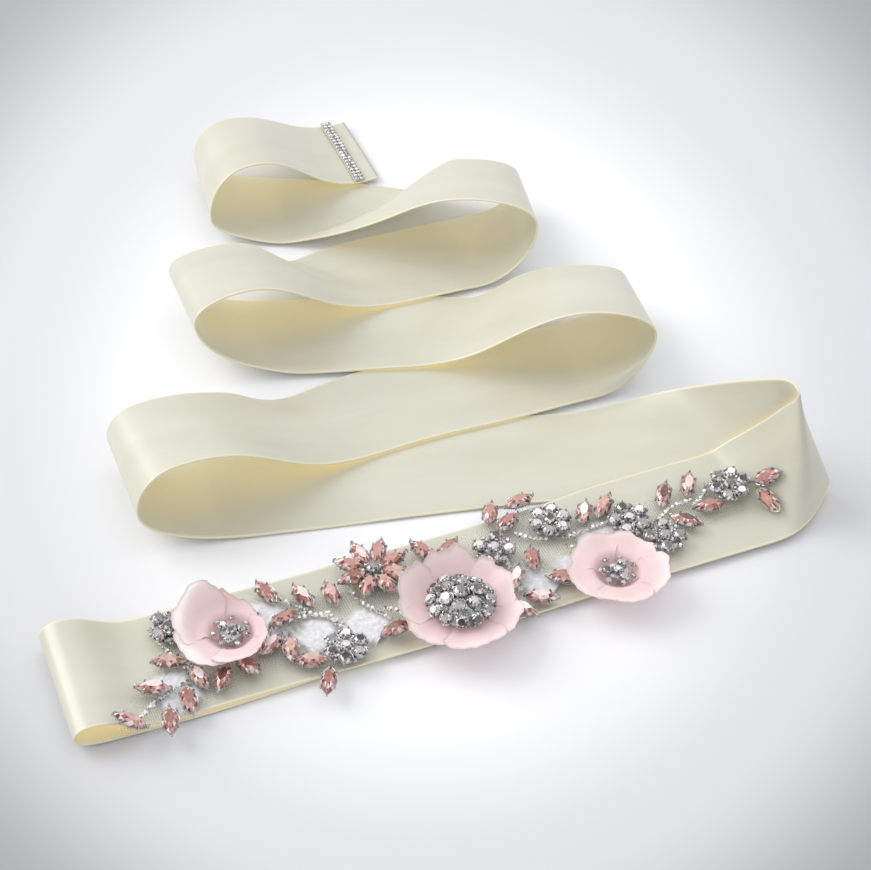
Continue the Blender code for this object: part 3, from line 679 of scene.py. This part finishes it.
pointedLevels = ((0.55, 0.25, 0), (1.0, 1.05, 0), (0.80, 1.95, 1), (0.52, 2.75, 0))
roundLevels = ((0.5, 0.2, 0), (1.0, 0.95, 0), (0.82, 1.5, 1), (0.56, 1.95, 0))
pointedSize = (stoneLook["length"], stoneLook["width"])
roundSize = (2 * stoneLook["roundRadius"], 2 * stoneLook["roundRadius"])
pointedGem = gemShape(pointedOutline, stoneLook["sides"], *pointedSize, pointedLevels)
roundGem = gemShape(roundOutline, stoneLook["roundSides"], *roundSize, roundLevels)
pointedMetal = joinShapes([
    cupShape(pointedOutline, stoneLook["sides"], *pointedSize),
    prongShape(pointedOutline, *pointedSize, 2.4, (0, 62, 118, 180, 242, 298))])
roundMetal = joinShapes([
    cupShape(roundOutline, 10, *roundSize),
    prongShape(roundOutline, *roundSize, 2.0, (45, 135, 225, 315))])


def layStones(name, frames, gem, metal, finish, scales=None, glint=0.0):
    # the stones as one piece and their settings as another
    points, faces = spread(gem, frames, scales)
    # painted facet light for each facet; glint adds painted highlight
    paintedLight = np.clip(paintedFacetLights(gem[2], len(frames)) + glint, 0, 1)
    stones = newPiece(name, points, [faces], finish, isSmooth=False, paintedLight=paintedLight)
    points, faces = spread(metal, frames, scales)
    newPiece(name + "_settings", points, [faces], silver, isSmooth=False)
    return stones


def layPointed(name, frames):
    return layStones(name, frames, pointedGem, pointedMetal, rose)


def layRound(name, frames, sizes, glint=0.0):
    return layStones(name, frames, roundGem, roundMetal, clear, np.array(sizes), glint)


def makePointedStones():
    frames = []
    for s, v, angle in pointedStones:
        height = layers["stones"] if s < netShape["rows"][-1][0] else layers["bare"]
        frames.append(wobble(onFront(s, v, angle, height), stoneLook["tilt"]))
    stones = layPointed("rose_stones", frames)
    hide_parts(*[f"stone_{n:02d}" for n in range(1, len(pointedStones) + 1)])


def ringSpots(count, pitch):
    t = 2 * math.pi * np.arange(count - 1) / (count - 1)
    return np.vstack([[[0.0, 0.0]], np.column_stack([pitch * np.cos(t), pitch * np.sin(t)])])


def discShape(radius, thickness, sides):
    rings = [ringAt(roundOutline, sides, 0, 2 * radius, 2 * radius, scale, z)
             for scale, z in ((1, 0.0), (1, 0.7 * thickness), (0.93, thickness))]
    points = np.vstack(rings + [[[0, 0, 0]], [[0, 0, thickness]]])
    quads = tube(3, sides, closeColumns=True)
    i = np.arange(sides)
    j = (i + 1) % sides
    fans = [np.column_stack([np.full(sides, 3 * sides), j, i]),
            np.column_stack([2 * sides + i, 2 * sides + j, np.full(sides, 3 * sides + 1)])]
    return points, np.vstack([halves(quads)] + fans)


def makeGroups():
    for name, (s, v, count, angle) in stoneGroups.items():
        base = onFront(s, v, angle, layers["stones"], groupPitch + stoneLook["roundRadius"])
        frames = [wobble(shifted(base, x, y, 0.7), 7.0) for x, y in ringSpots(count, groupPitch)]
        sizes = [1.0] * count
        # small stones in the gaps between the ring stones, and outside them
        for step in range(count - 1):
            for radius, share, size in ((0.56, 0.5, 0.42), (1.2, 0.5, 0.4)):
                turn = 2 * math.pi * (step + share) / (count - 1) + rng.uniform(-0.12, 0.12)
                spot = groupPitch * radius * (1 + rng.uniform(-0.06, 0.06))
                low = 1.0 if radius < 1 else 0.35
                frames.append(shifted(base, spot * math.cos(turn), spot * math.sin(turn), low))
                sizes.append(size)
        stones = layRound(name + "_stones", frames, sizes)
        plate = discShape(groupPitch + 0.6, 0.8, 20)
        points, faces = spread(plate, [base])
        newPiece(name + "_seat", points, [faces], silver, isSmooth=False)
        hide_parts(name)


print("net")
netShape = {
    "steps": 110, "columns": 25, "cellsPerMetre": 1300.0, "thread": 0.06, "halfThickness": 0.12,
    "rows": (
        (14.0, -20.0, 3.0), (22.0, -18.0, 6.0), (32.0, -12.0, 12.0), (42.0, -3.0, 16.0),
        (56.0, 1.0, 14.0), (68.0, 2.0, 14.0), (78.0, -5.0, 17.0), (90.0, -4.0, 14.0),
        (100.0, 4.0, 14.0), (112.0, 0.0, 17.0), (126.0, -3.0, 16.0), (140.0, 0.0, 17.0),
        (152.0, 4.0, 18.0), (164.0, 2.0, 14.0), (176.0, -3.0, 13.0), (188.0, -2.0, 11.0),
        (200.0, 0.0, 8.0), (210.0, 1.0, 7.0), (218.0, 1.0, 6.0),
    ),
}
# rows: distance, across, reach along, reach across, turn in degrees of the closely worked places
densePlaces = (
    (67.0, 4.5, 6.5, 8.5, 8), (79.0, -6.0, 5.5, 6.5, -25), (93.0, -8.0, 7.0, 6.5, -20),
    (160.0, -12.5, 9.0, 8.5, -18), (171.0, 0.5, 6.5, 5.0, 0), (160.0, 22.5, 5.0, 3.6, -30),
    (35.0, -12.0, 5.5, 8.0, 12), (146.0, -10.0, 5.0, 6.0, 20), (112.0, 3.0, 5.0, 8.0, 0),
)


def netFinish():
    finish, nodes, join, shader = newFinish("net")
    uv = addNode(nodes, "ShaderNodeUVMap", uv_map="cloth")
    cells = addNode(nodes, "ShaderNodeTexVoronoi", feature="DISTANCE_TO_EDGE",
                    Scale=netShape["cellsPerMetre"], Randomness=0.35)
    join(uv, "UV", cells, "Vector")
    thread = addNode(nodes, "ShaderNodeMath", operation="LESS_THAN")
    thread.inputs[1].default_value = netShape["thread"]
    join(cells, "Distance", thread, 0)
    faint = addNode(nodes, "ShaderNodeMath", operation="MULTIPLY")
    faint.inputs[1].default_value = 0.28
    join(thread, 0, faint, 0)
    dense = addNode(nodes, "ShaderNodeAttribute", attribute_name="worked")
    fuzz = addNode(nodes, "ShaderNodeTexNoise", Scale=700.0, Detail=4.0)
    join(uv, "UV", fuzz, "Vector")
    worked = addNode(nodes, "ShaderNodeMath", operation="MULTIPLY_ADD")
    worked.inputs[1].default_value = 0.5
    worked.inputs[2].default_value = 0.62
    join(fuzz, "Fac", worked, 0)
    most = addNode(nodes, "ShaderNodeMath", operation="MULTIPLY", use_clamp=True)
    join(worked, 0, most, 0)
    join(dense, "Fac", most, 1)
    alpha = addNode(nodes, "ShaderNodeMath", operation="MAXIMUM", use_clamp=True)
    join(faint, 0, alpha, 0)
    join(most, 0, alpha, 1)
    join(alpha, 0, shader, "Alpha")
    tone = ramp(nodes, ((0.3, (0.80, 0.81, 0.83)), (0.7, (0.93, 0.93, 0.94))))
    join(fuzz, "Fac", tone, "Fac")
    join(tone, "Color", shader, "Base Color")
    shader.inputs["Roughness"].default_value = 0.8
    return finish


def makeNet():
    # a band along the front run between two wavy edges, a thin shell above the satin
    rows = np.array(netShape["rows"])
    s = np.linspace(rows[0, 0], rows[-1, 0], netShape["steps"])
    middle, half = np.interp(s, rows[:, 0], rows[:, 1]), np.interp(s, rows[:, 0], rows[:, 2])
    half = half * (1 + 0.06 * np.sin(s * 0.9) + 0.03 * np.sin(s * 2.3))
    share = np.linspace(-1, 1, netShape["columns"])
    v = middle[:, None] + half[:, None] * share[None, :]
    # the front run at each place, read from a fine grid of it
    fine = np.linspace(-30, 30, 61)
    sheet = np.stack([runSurface(frontRun, s, float(a)) for a in fine], axis=1)
    place = np.clip((v + 30), 0, 59.999)
    low = place.astype(int)
    part = (place - low)[:, :, None]
    row = np.arange(len(s))[:, None]
    grid = sheet[row, low] * (1 - part) + sheet[row, low + 1] * part
    normal = gridNormals(grid)
    grid = grid + normal * (layers["net"] + layers["netLift"])
    density = np.zeros(v.shape)
    for placeS, placeV, reachS, reachV, angle in densePlaces:
        turn = math.radians(angle)
        ds, dv = s[:, None] - placeS, v - placeV
        along = (ds * math.cos(turn) + dv * math.sin(turn)) / reachS
        across = (dv * math.cos(turn) - ds * math.sin(turn)) / reachV
        wavy = 1 + 0.12 * np.sin(5 * np.arctan2(across, along) + placeS)
        density = np.maximum(density, smooth((1.12 - np.hypot(along, across) / wavy) / 0.25))
    thick = normal * netShape["halfThickness"]
    points = np.concatenate([(grid + thick).reshape(-1, 3), (grid - thick).reshape(-1, 3)])
    uv = np.stack([np.broadcast_to(s[:, None], v.shape), v], axis=-1).reshape(-1, 2) * mm
    net = newPiece("net", points, [shellFaces(*v.shape)], netFinish(),
                   uv=np.vstack([uv, uv]))
    layer = net.data.attributes.new("worked", "FLOAT", "POINT")
    layer.data.foreach_set("value", np.tile(density.ravel(), 2).astype(np.float32))
    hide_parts("net_backing")


makeNet()
makePointedStones()
makeGroups()

print("flowers")
flowers = {
    "flower_left": {"s": 55.3, "v": 0.0, "petals": 5, "radius": 12.8, "inner": 3.6, "outer": 8.0,
                    "turn": 20, "lean": 5.0, "skew": 0.25},
    "flower_middle": {"s": 119.3, "v": -15.0, "petals": 6, "radius": 17.2, "inner": 3.6, "outer": 8.2,
                      "turn": 54, "lean": 6.0, "skew": 0.0},
    "flower_right": {"s": 168.0, "v": -18.5, "petals": 5, "radius": 14.6, "inner": 3.6, "outer": 8.0,
                     "turn": 10, "lean": 0.0, "skew": 0.0},
}
petalLook = {
    "pale": (0.84, 0.645, 0.64), "deep": (0.78, 0.53, 0.53), "rim": (0.93, 0.80, 0.79),
    "thickness": 0.18, "along": 16, "across": 25, "paintedGlow": 0.09, "spread": 0.74, "alpha": 0.9,
    "root": 1.2, "tier": 0.42, "droop": 0.9,
}


def petalFinish():
    finish, nodes, join, shader = newFinish("organza")
    uv = addNode(nodes, "ShaderNodeUVMap", uv_map="cloth")
    parts = addNode(nodes, "ShaderNodeSeparateXYZ")
    join(uv, "UV", parts, "Vector")
    # deeper at the heart, pale towards the rim
    tone = ramp(nodes, ((0.1, petalLook["deep"]), (0.75, petalLook["pale"]), (0.97, petalLook["rim"])))
    join(parts, "X", tone, "Fac")
    join(tone, "Color", shader, "Base Color")
    veins = addNode(nodes, "ShaderNodeMapping", Scale=(3.0, 38.0, 1.0))
    join(uv, "UV", veins, "Vector")
    lines = addNode(nodes, "ShaderNodeTexNoise", Scale=1.0, Detail=4.0)
    join(veins, "Vector", lines, "Vector")
    bump = addNode(nodes, "ShaderNodeBump", Strength=0.35, Distance=0.0004)
    join(lines, "Fac", bump, "Height")
    join(bump, "Normal", shader, "Normal")
    # the glow stands for daylight through the thin cloth
    join(tone, "Color", shader, "Emission Color")
    give(shader, {"Roughness": 0.55, "Sheen Weight": 0.5, "Emission Strength": petalLook["paintedGlow"],
                  "Alpha": petalLook["alpha"]})
    return finish


organza = petalFinish()


def petalGrid(flower, number, seed):
    # polar sheet: a share p outwards and q across, narrow at the root and scalloped at the rim
    p = np.linspace(0, 1, petalLook["along"])[:, None]
    q = np.linspace(-1, 1, petalLook["across"])[None, :]
    middle = 2 * math.pi * (number + 0.5) / flower["petals"] + seed[0] * 0.12
    half = petalLook["spread"] * 2 * math.pi / flower["petals"] * (1 + 0.08 * seed[1])
    theta = middle + q * half * (0.45 + 0.55 * p ** 0.6)
    right = np.cos(theta + math.radians(flower["turn"]))
    tip = flower["radius"] * (1 - flower["skew"] * right) * (1.03 + 0.04 * seed[2])
    tip = tip * (1 - 0.2 * np.abs(q) ** 3)
    tip = tip * (1 + 0.022 * np.sin(9 * q + 5 * seed[0]) + 0.012 * np.sin(23 * q + seed[1]))
    radius = petalLook["root"] + (tip - petalLook["root"]) * p
    climb = smooth((radius - flower["inner"]) / (flower["outer"] - flower["inner"]))
    outer = np.clip((radius - flower["outer"]) / (flower["radius"] - flower["outer"]), 0, 1.1)
    height = layers["petalFoot"] + layers["petalRise"] * climb + layers["petalCup"] * outer ** 2
    far = np.maximum(np.sin(theta + math.radians(flower["turn"])), 0)
    height = height + flower["lean"] * far * outer ** 2
    height = height + petalLook["tier"] * (number % 2) + 0.25 * seed[2]
    waves = 0.55 * np.sin(3.1 * q + 6 * seed[1]) + 0.3 * np.sin(7.3 * q + 4 * seed[0])
    height = height + outer * waves
    height = height - petalLook["droop"] * np.abs(q) ** 3 * outer
    height = height + 0.35 * outer * np.sin(5 * p + 3 * seed[2])
    height = np.broadcast_to(height, radius.shape)
    grid = np.stack([radius * np.cos(theta), radius * np.sin(theta), height], -1)
    uv = np.stack([np.broadcast_to(radius / flower["radius"] * 0.9, radius.shape),
                   np.broadcast_to(theta / 6.3, radius.shape)], -1)
    return grid, uv


def makeFlower(name, flower):
    base = onFront(flower["s"], flower["v"], flower["turn"], 0.0)
    points, quads, uvs, start, area = [], [], [], 0, 0.0
    for number in range(flower["petals"]):
        grid, uv = petalGrid(flower, number, rng.uniform(-1, 1, 3))
        turned = grid.reshape(-1, 3) @ base[:3, :3].T + base[:3, 3]
        normal = gridNormals(turned.reshape(grid.shape)).reshape(-1, 3)
        thick = normal * petalLook["thickness"] / 2
        points += [turned + thick, turned - thick]
        quads.append(shellFaces(*grid.shape[:2]) + start)
        uvs += [uv.reshape(-1, 2)] * 2
        start += 2 * len(turned)
        # a quad's area is half the cross product of its diagonals
        corners = turned[tube(*grid.shape[:2])]
        diagonals = corners[:, 2] - corners[:, 0], corners[:, 3] - corners[:, 1]
        area += 0.5 * np.linalg.norm(np.cross(*diagonals), axis=1).sum()
    piece = newPiece(name + "_petals", np.vstack(points), quads, organza, uv=np.vstack(uvs))
    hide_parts(name)


centres = {
    "turns": {"flower_left": 0, "flower_right": 40}, "pitch": 3.2, "height": 2.6, "size": 0.72,
    "smallCount": 7, "smallRing": 5.0, "smallLean": 0.4, "smallSize": 0.4,
    "stemRadius": 3.4, "stemHeight": 2.7, "stemSides": 16,
}


def makeCentres():
    for name, angle in centres["turns"].items():
        flower = flowers[name]
        base = onFront(flower["s"], flower["v"], angle, layers["centreFoot"])
        frames = [wobble(shifted(base, x, y, centres["height"]), 9.0)
                  for x, y in ringSpots(4, centres["pitch"])]
        for step in range(centres["smallCount"]):
            turn = 2 * math.pi * step / centres["smallCount"] + 0.3
            x, y = centres["smallRing"] * math.cos(turn), centres["smallRing"] * math.sin(turn)
            frames.append(shifted(base, x, y, centres["height"], centres["smallLean"], turn))
        sizes = [centres["size"]] * 4 + [centres["smallSize"]] * centres["smallCount"]
        stones = layRound(name + "_centre_stones", frames, sizes)
        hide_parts(name + "_centre")
        stem = discShape(centres["stemRadius"], centres["stemHeight"], centres["stemSides"])
        points, faces = spread(stem, [base])
        newPiece(name + "_centre_stem", points, [faces], silver, isSmooth=False)


# rings: radius, number of stones, turn in degrees, size
dome = {
    "radius": 8.8, "rise": 3.4, "foot": 0.9, "smallLift": 0.25, "lean": 0.75,
    "capSides": 40, "capRings": 8,
    "rings": ((0.0, 1, 0, 1.15), (4.4, 6, 0, 1.0), (8.2, 12, 8, 0.97), (2.5, 3, 30, 0.45),
              (6.4, 12, 23, 0.5)),
}


def makeDome():
    # three rings of stones on a low cap, small stones between them
    flower = flowers["flower_middle"]
    base = onFront(flower["s"], flower["v"], 0, layers["domeFoot"])
    frames, sizes = [], []
    for radius, count, turn, size in dome["rings"]:
        height = dome["foot"] + dome["rise"] * (1 - (radius / dome["radius"]) ** 2)
        height = height + (0.0 if size > 0.9 else dome["smallLift"])
        for step in range(count):
            spin = 2 * math.pi * step / count + math.radians(turn)
            lean = dome["lean"] * radius / dome["radius"] + rng.uniform(-0.12, 0.12)
            x, y = radius * math.cos(spin), radius * math.sin(spin)
            frames.append(shifted(base, x, y, height, lean, spin))
            sizes.append(size * rng.uniform(0.94, 1.06))
    stones = layRound("dome_stones", frames, sizes)
    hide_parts("flower_middle_dome")
    # metal cap under the stones
    sides, count = dome["capSides"], dome["capRings"]
    share = np.linspace(0, 1, count + 1)[1:, None]
    t = 2 * math.pi * np.arange(sides)[None, :] / sides
    radius = dome["radius"] * np.sin(share * math.pi / 2)
    height = 0.1 + (dome["rise"] + 0.7) * np.cos(share * math.pi / 2)
    height = np.broadcast_to(height, (count, sides))
    grid = np.stack([radius * np.cos(t), radius * np.sin(t), height], -1)
    points = np.vstack([grid.reshape(-1, 3), [[0, 0, 0.8 + dome["rise"]]], [[0, 0, 0.1]]])
    i = np.arange(sides)
    j = (i + 1) % sides
    size, last = count * sides, (count - 1) * sides
    fans = [np.column_stack([j, i, np.full(sides, size)]),
            np.column_stack([last + i, last + j, np.full(sides, size + 1)])]
    faces = np.vstack([halves(tube(count, sides, closeColumns=True))[:, ::-1]] + fans)
    points, faces = spread((points, faces), [base])
    newPiece("dome_cap", points, [faces], silver)


stoneFlower = {
    "s": 102.8, "v": 11.0, "turn": 12, "count": 8, "ring": 7.0, "height": 0.6, "lean": -0.16,
    "middleHeight": 1.3, "smallCount": 7, "smallRing": 2.9, "smallHeight": 1.0, "smallLean": 0.3,
    "smallSize": 0.38,
}


def makeStoneFlower():
    # eight pointed stones round a clear one, each tipped up a little at its outer end
    look = stoneFlower
    base = onFront(look["s"], look["v"], look["turn"], layers["stones"])

    def ring(count, radius, height, lean):
        return [shifted(base, radius * math.cos(a), radius * math.sin(a), height, lean, a)
                for a in 2 * math.pi * np.arange(count) / count]

    frames = ring(look["count"], look["ring"], look["height"], look["lean"])
    stones = layPointed("stone_flower_petals", frames)
    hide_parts("stone_flower")
    frames = [shifted(base, 0, 0, look["middleHeight"])]
    frames += ring(look["smallCount"], look["smallRing"], look["smallHeight"], look["smallLean"])
    sizes = [1.0] + [look["smallSize"]] * look["smallCount"]
    stones = layRound("stone_flower_middle", frames, sizes)
    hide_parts("stone_flower_centre")


for flowerName, flowerRow in flowers.items():
    makeFlower(flowerName, flowerRow)
makeCentres()
makeDome()
makeStoneFlower()

print("beads and end trim")
# each strand: places along and across the front run
beadStrands = (
    ((62, 0), (68, 0.5), (76, 1.5), (85, 0.5)), ((73, 11.5), (75.5, 8.5), (78, 6), (80, 3.5)),
    ((64.5, 1), (66, -4), (68, -6.5), (70, -7.5)), ((77, 3.5), (81, 1.5), (84.5, -1.5), (88, -4.5)),
    ((161, 3), (165.5, 3), (171, 3.5), (176.5, 3.5)), ((160, -0.5), (164, -3.5), (168.5, -8)),
    ((203, 0.5), (207, 3), (211, 7.5)), ((85, 0.5), (85.5, -4), (87, -7.5)),
    ((36, 7.5), (37.5, 2), (39.5, -3.5), (43, -8)), ((43.5, 5), (44, -1.5), (48, -6.5), (53, -7)),
    ((94, 6.5), (95, 2), (98.5, -4.5), (101.5, -9)), ((141, 1), (140.5, -5.5), (140, -12)),
    ((184.5, -3), (190.5, -1), (196.5, 2), (204, 2.5)), ((22, -19), (27, -15), (33, -12), (40, -10)),
    ((66, 8), (60, 13), (54, 16)), ((108, -12), (104, -6), (100, -3)), ((148, 10), (152, 6), (157, 4)),
)
beadLook = {"radius": 0.85, "pitch": 1.6, "height": 2.4}


def makeBeads():
    frames, sizes = [], []
    for strand in beadStrands:
        knots = through(strand, 8)
        travel = np.concatenate([[0], np.cumsum(np.hypot(*np.diff(knots, axis=0).T))])
        places = np.arange(0, travel[-1], beadLook["pitch"])
        for s, v in zip(np.interp(places, travel, knots[:, 0]), np.interp(places, travel, knots[:, 1])):
            frames.append(onFront(s, v, rng.uniform(0, 180), beadLook["height"], reach=1.0))
            sizes.append(rng.uniform(0.85, 1.12))
    bead = gemShape(roundOutline, 8, 2 * beadLook["radius"], 2 * beadLook["radius"],
                    ((0.55, -0.5, 0), (1.0, 0.0, 1), (0.6, 0.5, 0)))
    points, faces = spread(bead, np.array(frames), np.array(sizes))
    # painted facet light on the beads, raised for painted glints
    newPiece("seed_beads", points, [faces], clear, isSmooth=False,
             paintedLight=np.clip(paintedFacetLights(bead[2], len(frames)) + 0.28, 0, 1))


trim = {
    "fromEnd": 8.0, "width": 4.0, "rows": 2, "count": 20, "reach": 19.2, "height": 1.1, "size": 0.42,
    "glint": 0.25, "bandLow": 0.75, "bandHigh": 1.2, "bandColumns": 9,
}


def makeTrim():
    # rows of small stones on a band across the ribbon near its end
    last = dict(zip(foldNames, folds["turn7"]))
    middle = ribbon["endLength"] - trim["fromEnd"]
    frames = []
    for row in np.linspace(-0.25, 0.25, trim["rows"]) * trim["width"]:
        for v in np.linspace(-trim["reach"], trim["reach"], trim["count"]):
            here = foldSurface(last, np.array([middle + row, middle + row + 0.5]), float(v))
            beside = foldSurface(last, np.array([middle + row]), float(v) + 0.5)[0]
            along = unit(here[1] - here[0])
            up = unit(np.cross(along, beside - here[0]))
            frames.append(wobble(frameAt(along, up, here[0] + up * trim["height"]), 9.0))
    # the glint brightens the painted facet light as painted sparkle
    stones = layRound("trim_stones", frames, [trim["size"]] * len(frames), trim["glint"])
    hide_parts("trim_strip")
    stations = middle + np.array([-0.5, 0.5]) * trim["width"]
    across = np.linspace(-0.5, 0.5, trim["bandColumns"]) * ribbon["width"]
    grid = np.stack([foldSurface(last, stations, float(v)) for v in across], axis=1)
    low, high = grid + [0, 0, trim["bandLow"]], grid + [0, 0, trim["bandHigh"]]
    section = np.stack([low[0], low[1], high[1], high[0]], axis=1)
    quads = tube(len(across), 4, closeColumns=True)
    caps = np.array([[3, 2, 1, 0], np.arange(4) + 4 * (len(across) - 1)])
    newPiece("trim_band", section.reshape(-1, 3), [np.vstack([quads, caps])], satin,
             isSmooth=False)


makeBeads()
makeTrim()

print("room")
room = {
    "floorSize": 4000.0,
    # painted shade, darker away from the fixed view's centre. place: half the distance from the fixed
    # view's centre, as a share of half its width; tone there
    "floorPaintedShade": (
        (0.28, (0.93, 0.935, 0.95)), (0.5, (0.685, 0.69, 0.71)), (0.72, (0.37, 0.375, 0.39))),
    "worldColour": (0.95, 0.955, 0.985), "worldStrength": 0.85,
    # rows: name, place in metres, power, size, colour
    "lights": (
        ("key", (-1.4, 0.5, 1.1), 20.0, 1.4, (1.0, 0.985, 0.96)),
        ("fill", (0.5, 0.9, 1.9), 4.0, 1.6, (0.95, 0.97, 1.0)),
    ),
}
view = {
    "targetX": 111.14, "targetY": 126.49, "distance": 657.97, "elevation": 42.53, "roll": 1.56,
    "focal": 2049.14, "imageWidth": 871.0, "sensor": 36.0,
}


def makeFloor():
    mesh = bpy.data.meshes.new("floor")
    reach = room["floorSize"] * mm / 2
    corners = [(-reach, -reach, 0), (reach, -reach, 0), (reach, reach, 0), (-reach, reach, 0)]
    mesh.from_pydata(corners, [], [(0, 1, 2, 3)])
    finish, nodes, join, shader = newFinish("pale_floor")
    links = finish.node_tree.links
    # painted shade: a round gradient about the view's centre, darker towards the corners; place over
    # depth, as a share of half the view
    place = addNode(nodes, "ShaderNodeTexCoord")
    parts = addNode(nodes, "ShaderNodeSeparateXYZ")
    join(place, "Object", parts, "Vector")
    elevation, half = math.radians(view["elevation"]), view["imageWidth"] / 2 / view["focal"]

    def scaled(socket, factor, extra):
        step = addNode(nodes, "ShaderNodeMath", operation="MULTIPLY_ADD")
        links.new(socket, step.inputs[0])
        step.inputs[1].default_value, step.inputs[2].default_value = factor, extra
        return step.outputs[0]

    startX = (view["targetX"] - ribbon["centreX"]) * mm
    startY = (view["targetY"] - ribbon["centreY"]) * mm
    flatten = math.cos(elevation)
    depth = scaled(parts.outputs["Y"], flatten * half, (view["distance"] * mm - startY * flatten) * half)
    shares = []
    for name, factor, start in (("X", 1.0, startX), ("Y", math.sin(elevation), startY)):
        share = addNode(nodes, "ShaderNodeMath", operation="DIVIDE")
        links.new(scaled(parts.outputs[name], factor, -start * factor), share.inputs[0])
        links.new(depth, share.inputs[1])
        shares.append(share.outputs[0])
    both = addNode(nodes, "ShaderNodeCombineXYZ")
    links.new(shares[0], both.inputs["X"])
    links.new(shares[1], both.inputs["Y"])
    length = addNode(nodes, "ShaderNodeVectorMath", operation="LENGTH")
    join(both, "Vector", length, 0)
    halved = scaled(length.outputs["Value"], 0.5, 0.0)
    paintedFalloff = ramp(nodes, room["floorPaintedShade"])
    paintedFalloff.color_ramp.interpolation = "EASE"
    links.new(halved, paintedFalloff.inputs["Fac"])
    join(paintedFalloff, "Color", shader, "Base Color")
    shader.inputs["Roughness"].default_value = 0.85
    mesh.materials.append(finish)
    floor = bpy.data.objects.new("floor", mesh)
    bpy.context.scene.collection.objects.link(floor)
    floor.location.z = -0.0002


def makeCamera():
    elevation, roll = math.radians(view["elevation"]), math.radians(view["roll"])
    look = np.array([0.0, math.cos(elevation), -math.sin(elevation)])
    right = np.array([1.0, 0.0, 0.0])
    up = np.array([0.0, math.sin(elevation), math.cos(elevation)])
    right, up = (math.cos(roll) * right + math.sin(roll) * up,
                 -math.sin(roll) * right + math.cos(roll) * up)
    target = np.array([view["targetX"] - ribbon["centreX"], view["targetY"] - ribbon["centreY"], 0.0])
    spot = (target - look * view["distance"]) * mm
    data = bpy.data.cameras.new("camera")
    data.sensor_width = view["sensor"]
    data.lens = view["focal"] * view["sensor"] / view["imageWidth"]
    data.clip_start, data.clip_end = 0.01, 20.0
    camera = bpy.data.objects.new("camera", data)
    bpy.context.scene.collection.objects.link(camera)
    turned = np.column_stack([right, up, -look, spot])
    camera.matrix_world = Matrix(np.vstack([turned, [0, 0, 0, 1]]).tolist())
    bpy.context.scene.camera = camera


def areaLight(name, spot, power, size, colour):
    data = bpy.data.lights.new(name, "AREA")
    data.energy, data.size, data.color = power, size, colour
    light = bpy.data.objects.new(name, data)
    bpy.context.scene.collection.objects.link(light)
    # it faces the origin
    toward = unit(-np.array(spot))
    side = unit(np.cross(toward, [0, 0, 1]))
    turned = np.column_stack([side, np.cross(side, toward), -toward, np.array(spot)])
    light.matrix_world = Matrix(np.vstack([turned, [0, 0, 0, 1]]).tolist())


def makeLight():
    for row in room["lights"]:
        areaLight(*row)
    world = bpy.data.worlds.new("studio")
    world.use_nodes = True
    sky = world.node_tree.nodes["Background"]
    sky.inputs["Color"].default_value = (*room["worldColour"], 1)
    sky.inputs["Strength"].default_value = room["worldStrength"]
    bpy.context.scene.world = world
    bpy.context.scene.view_settings.view_transform = "Standard"


makeFloor()
makeCamera()
makeLight()
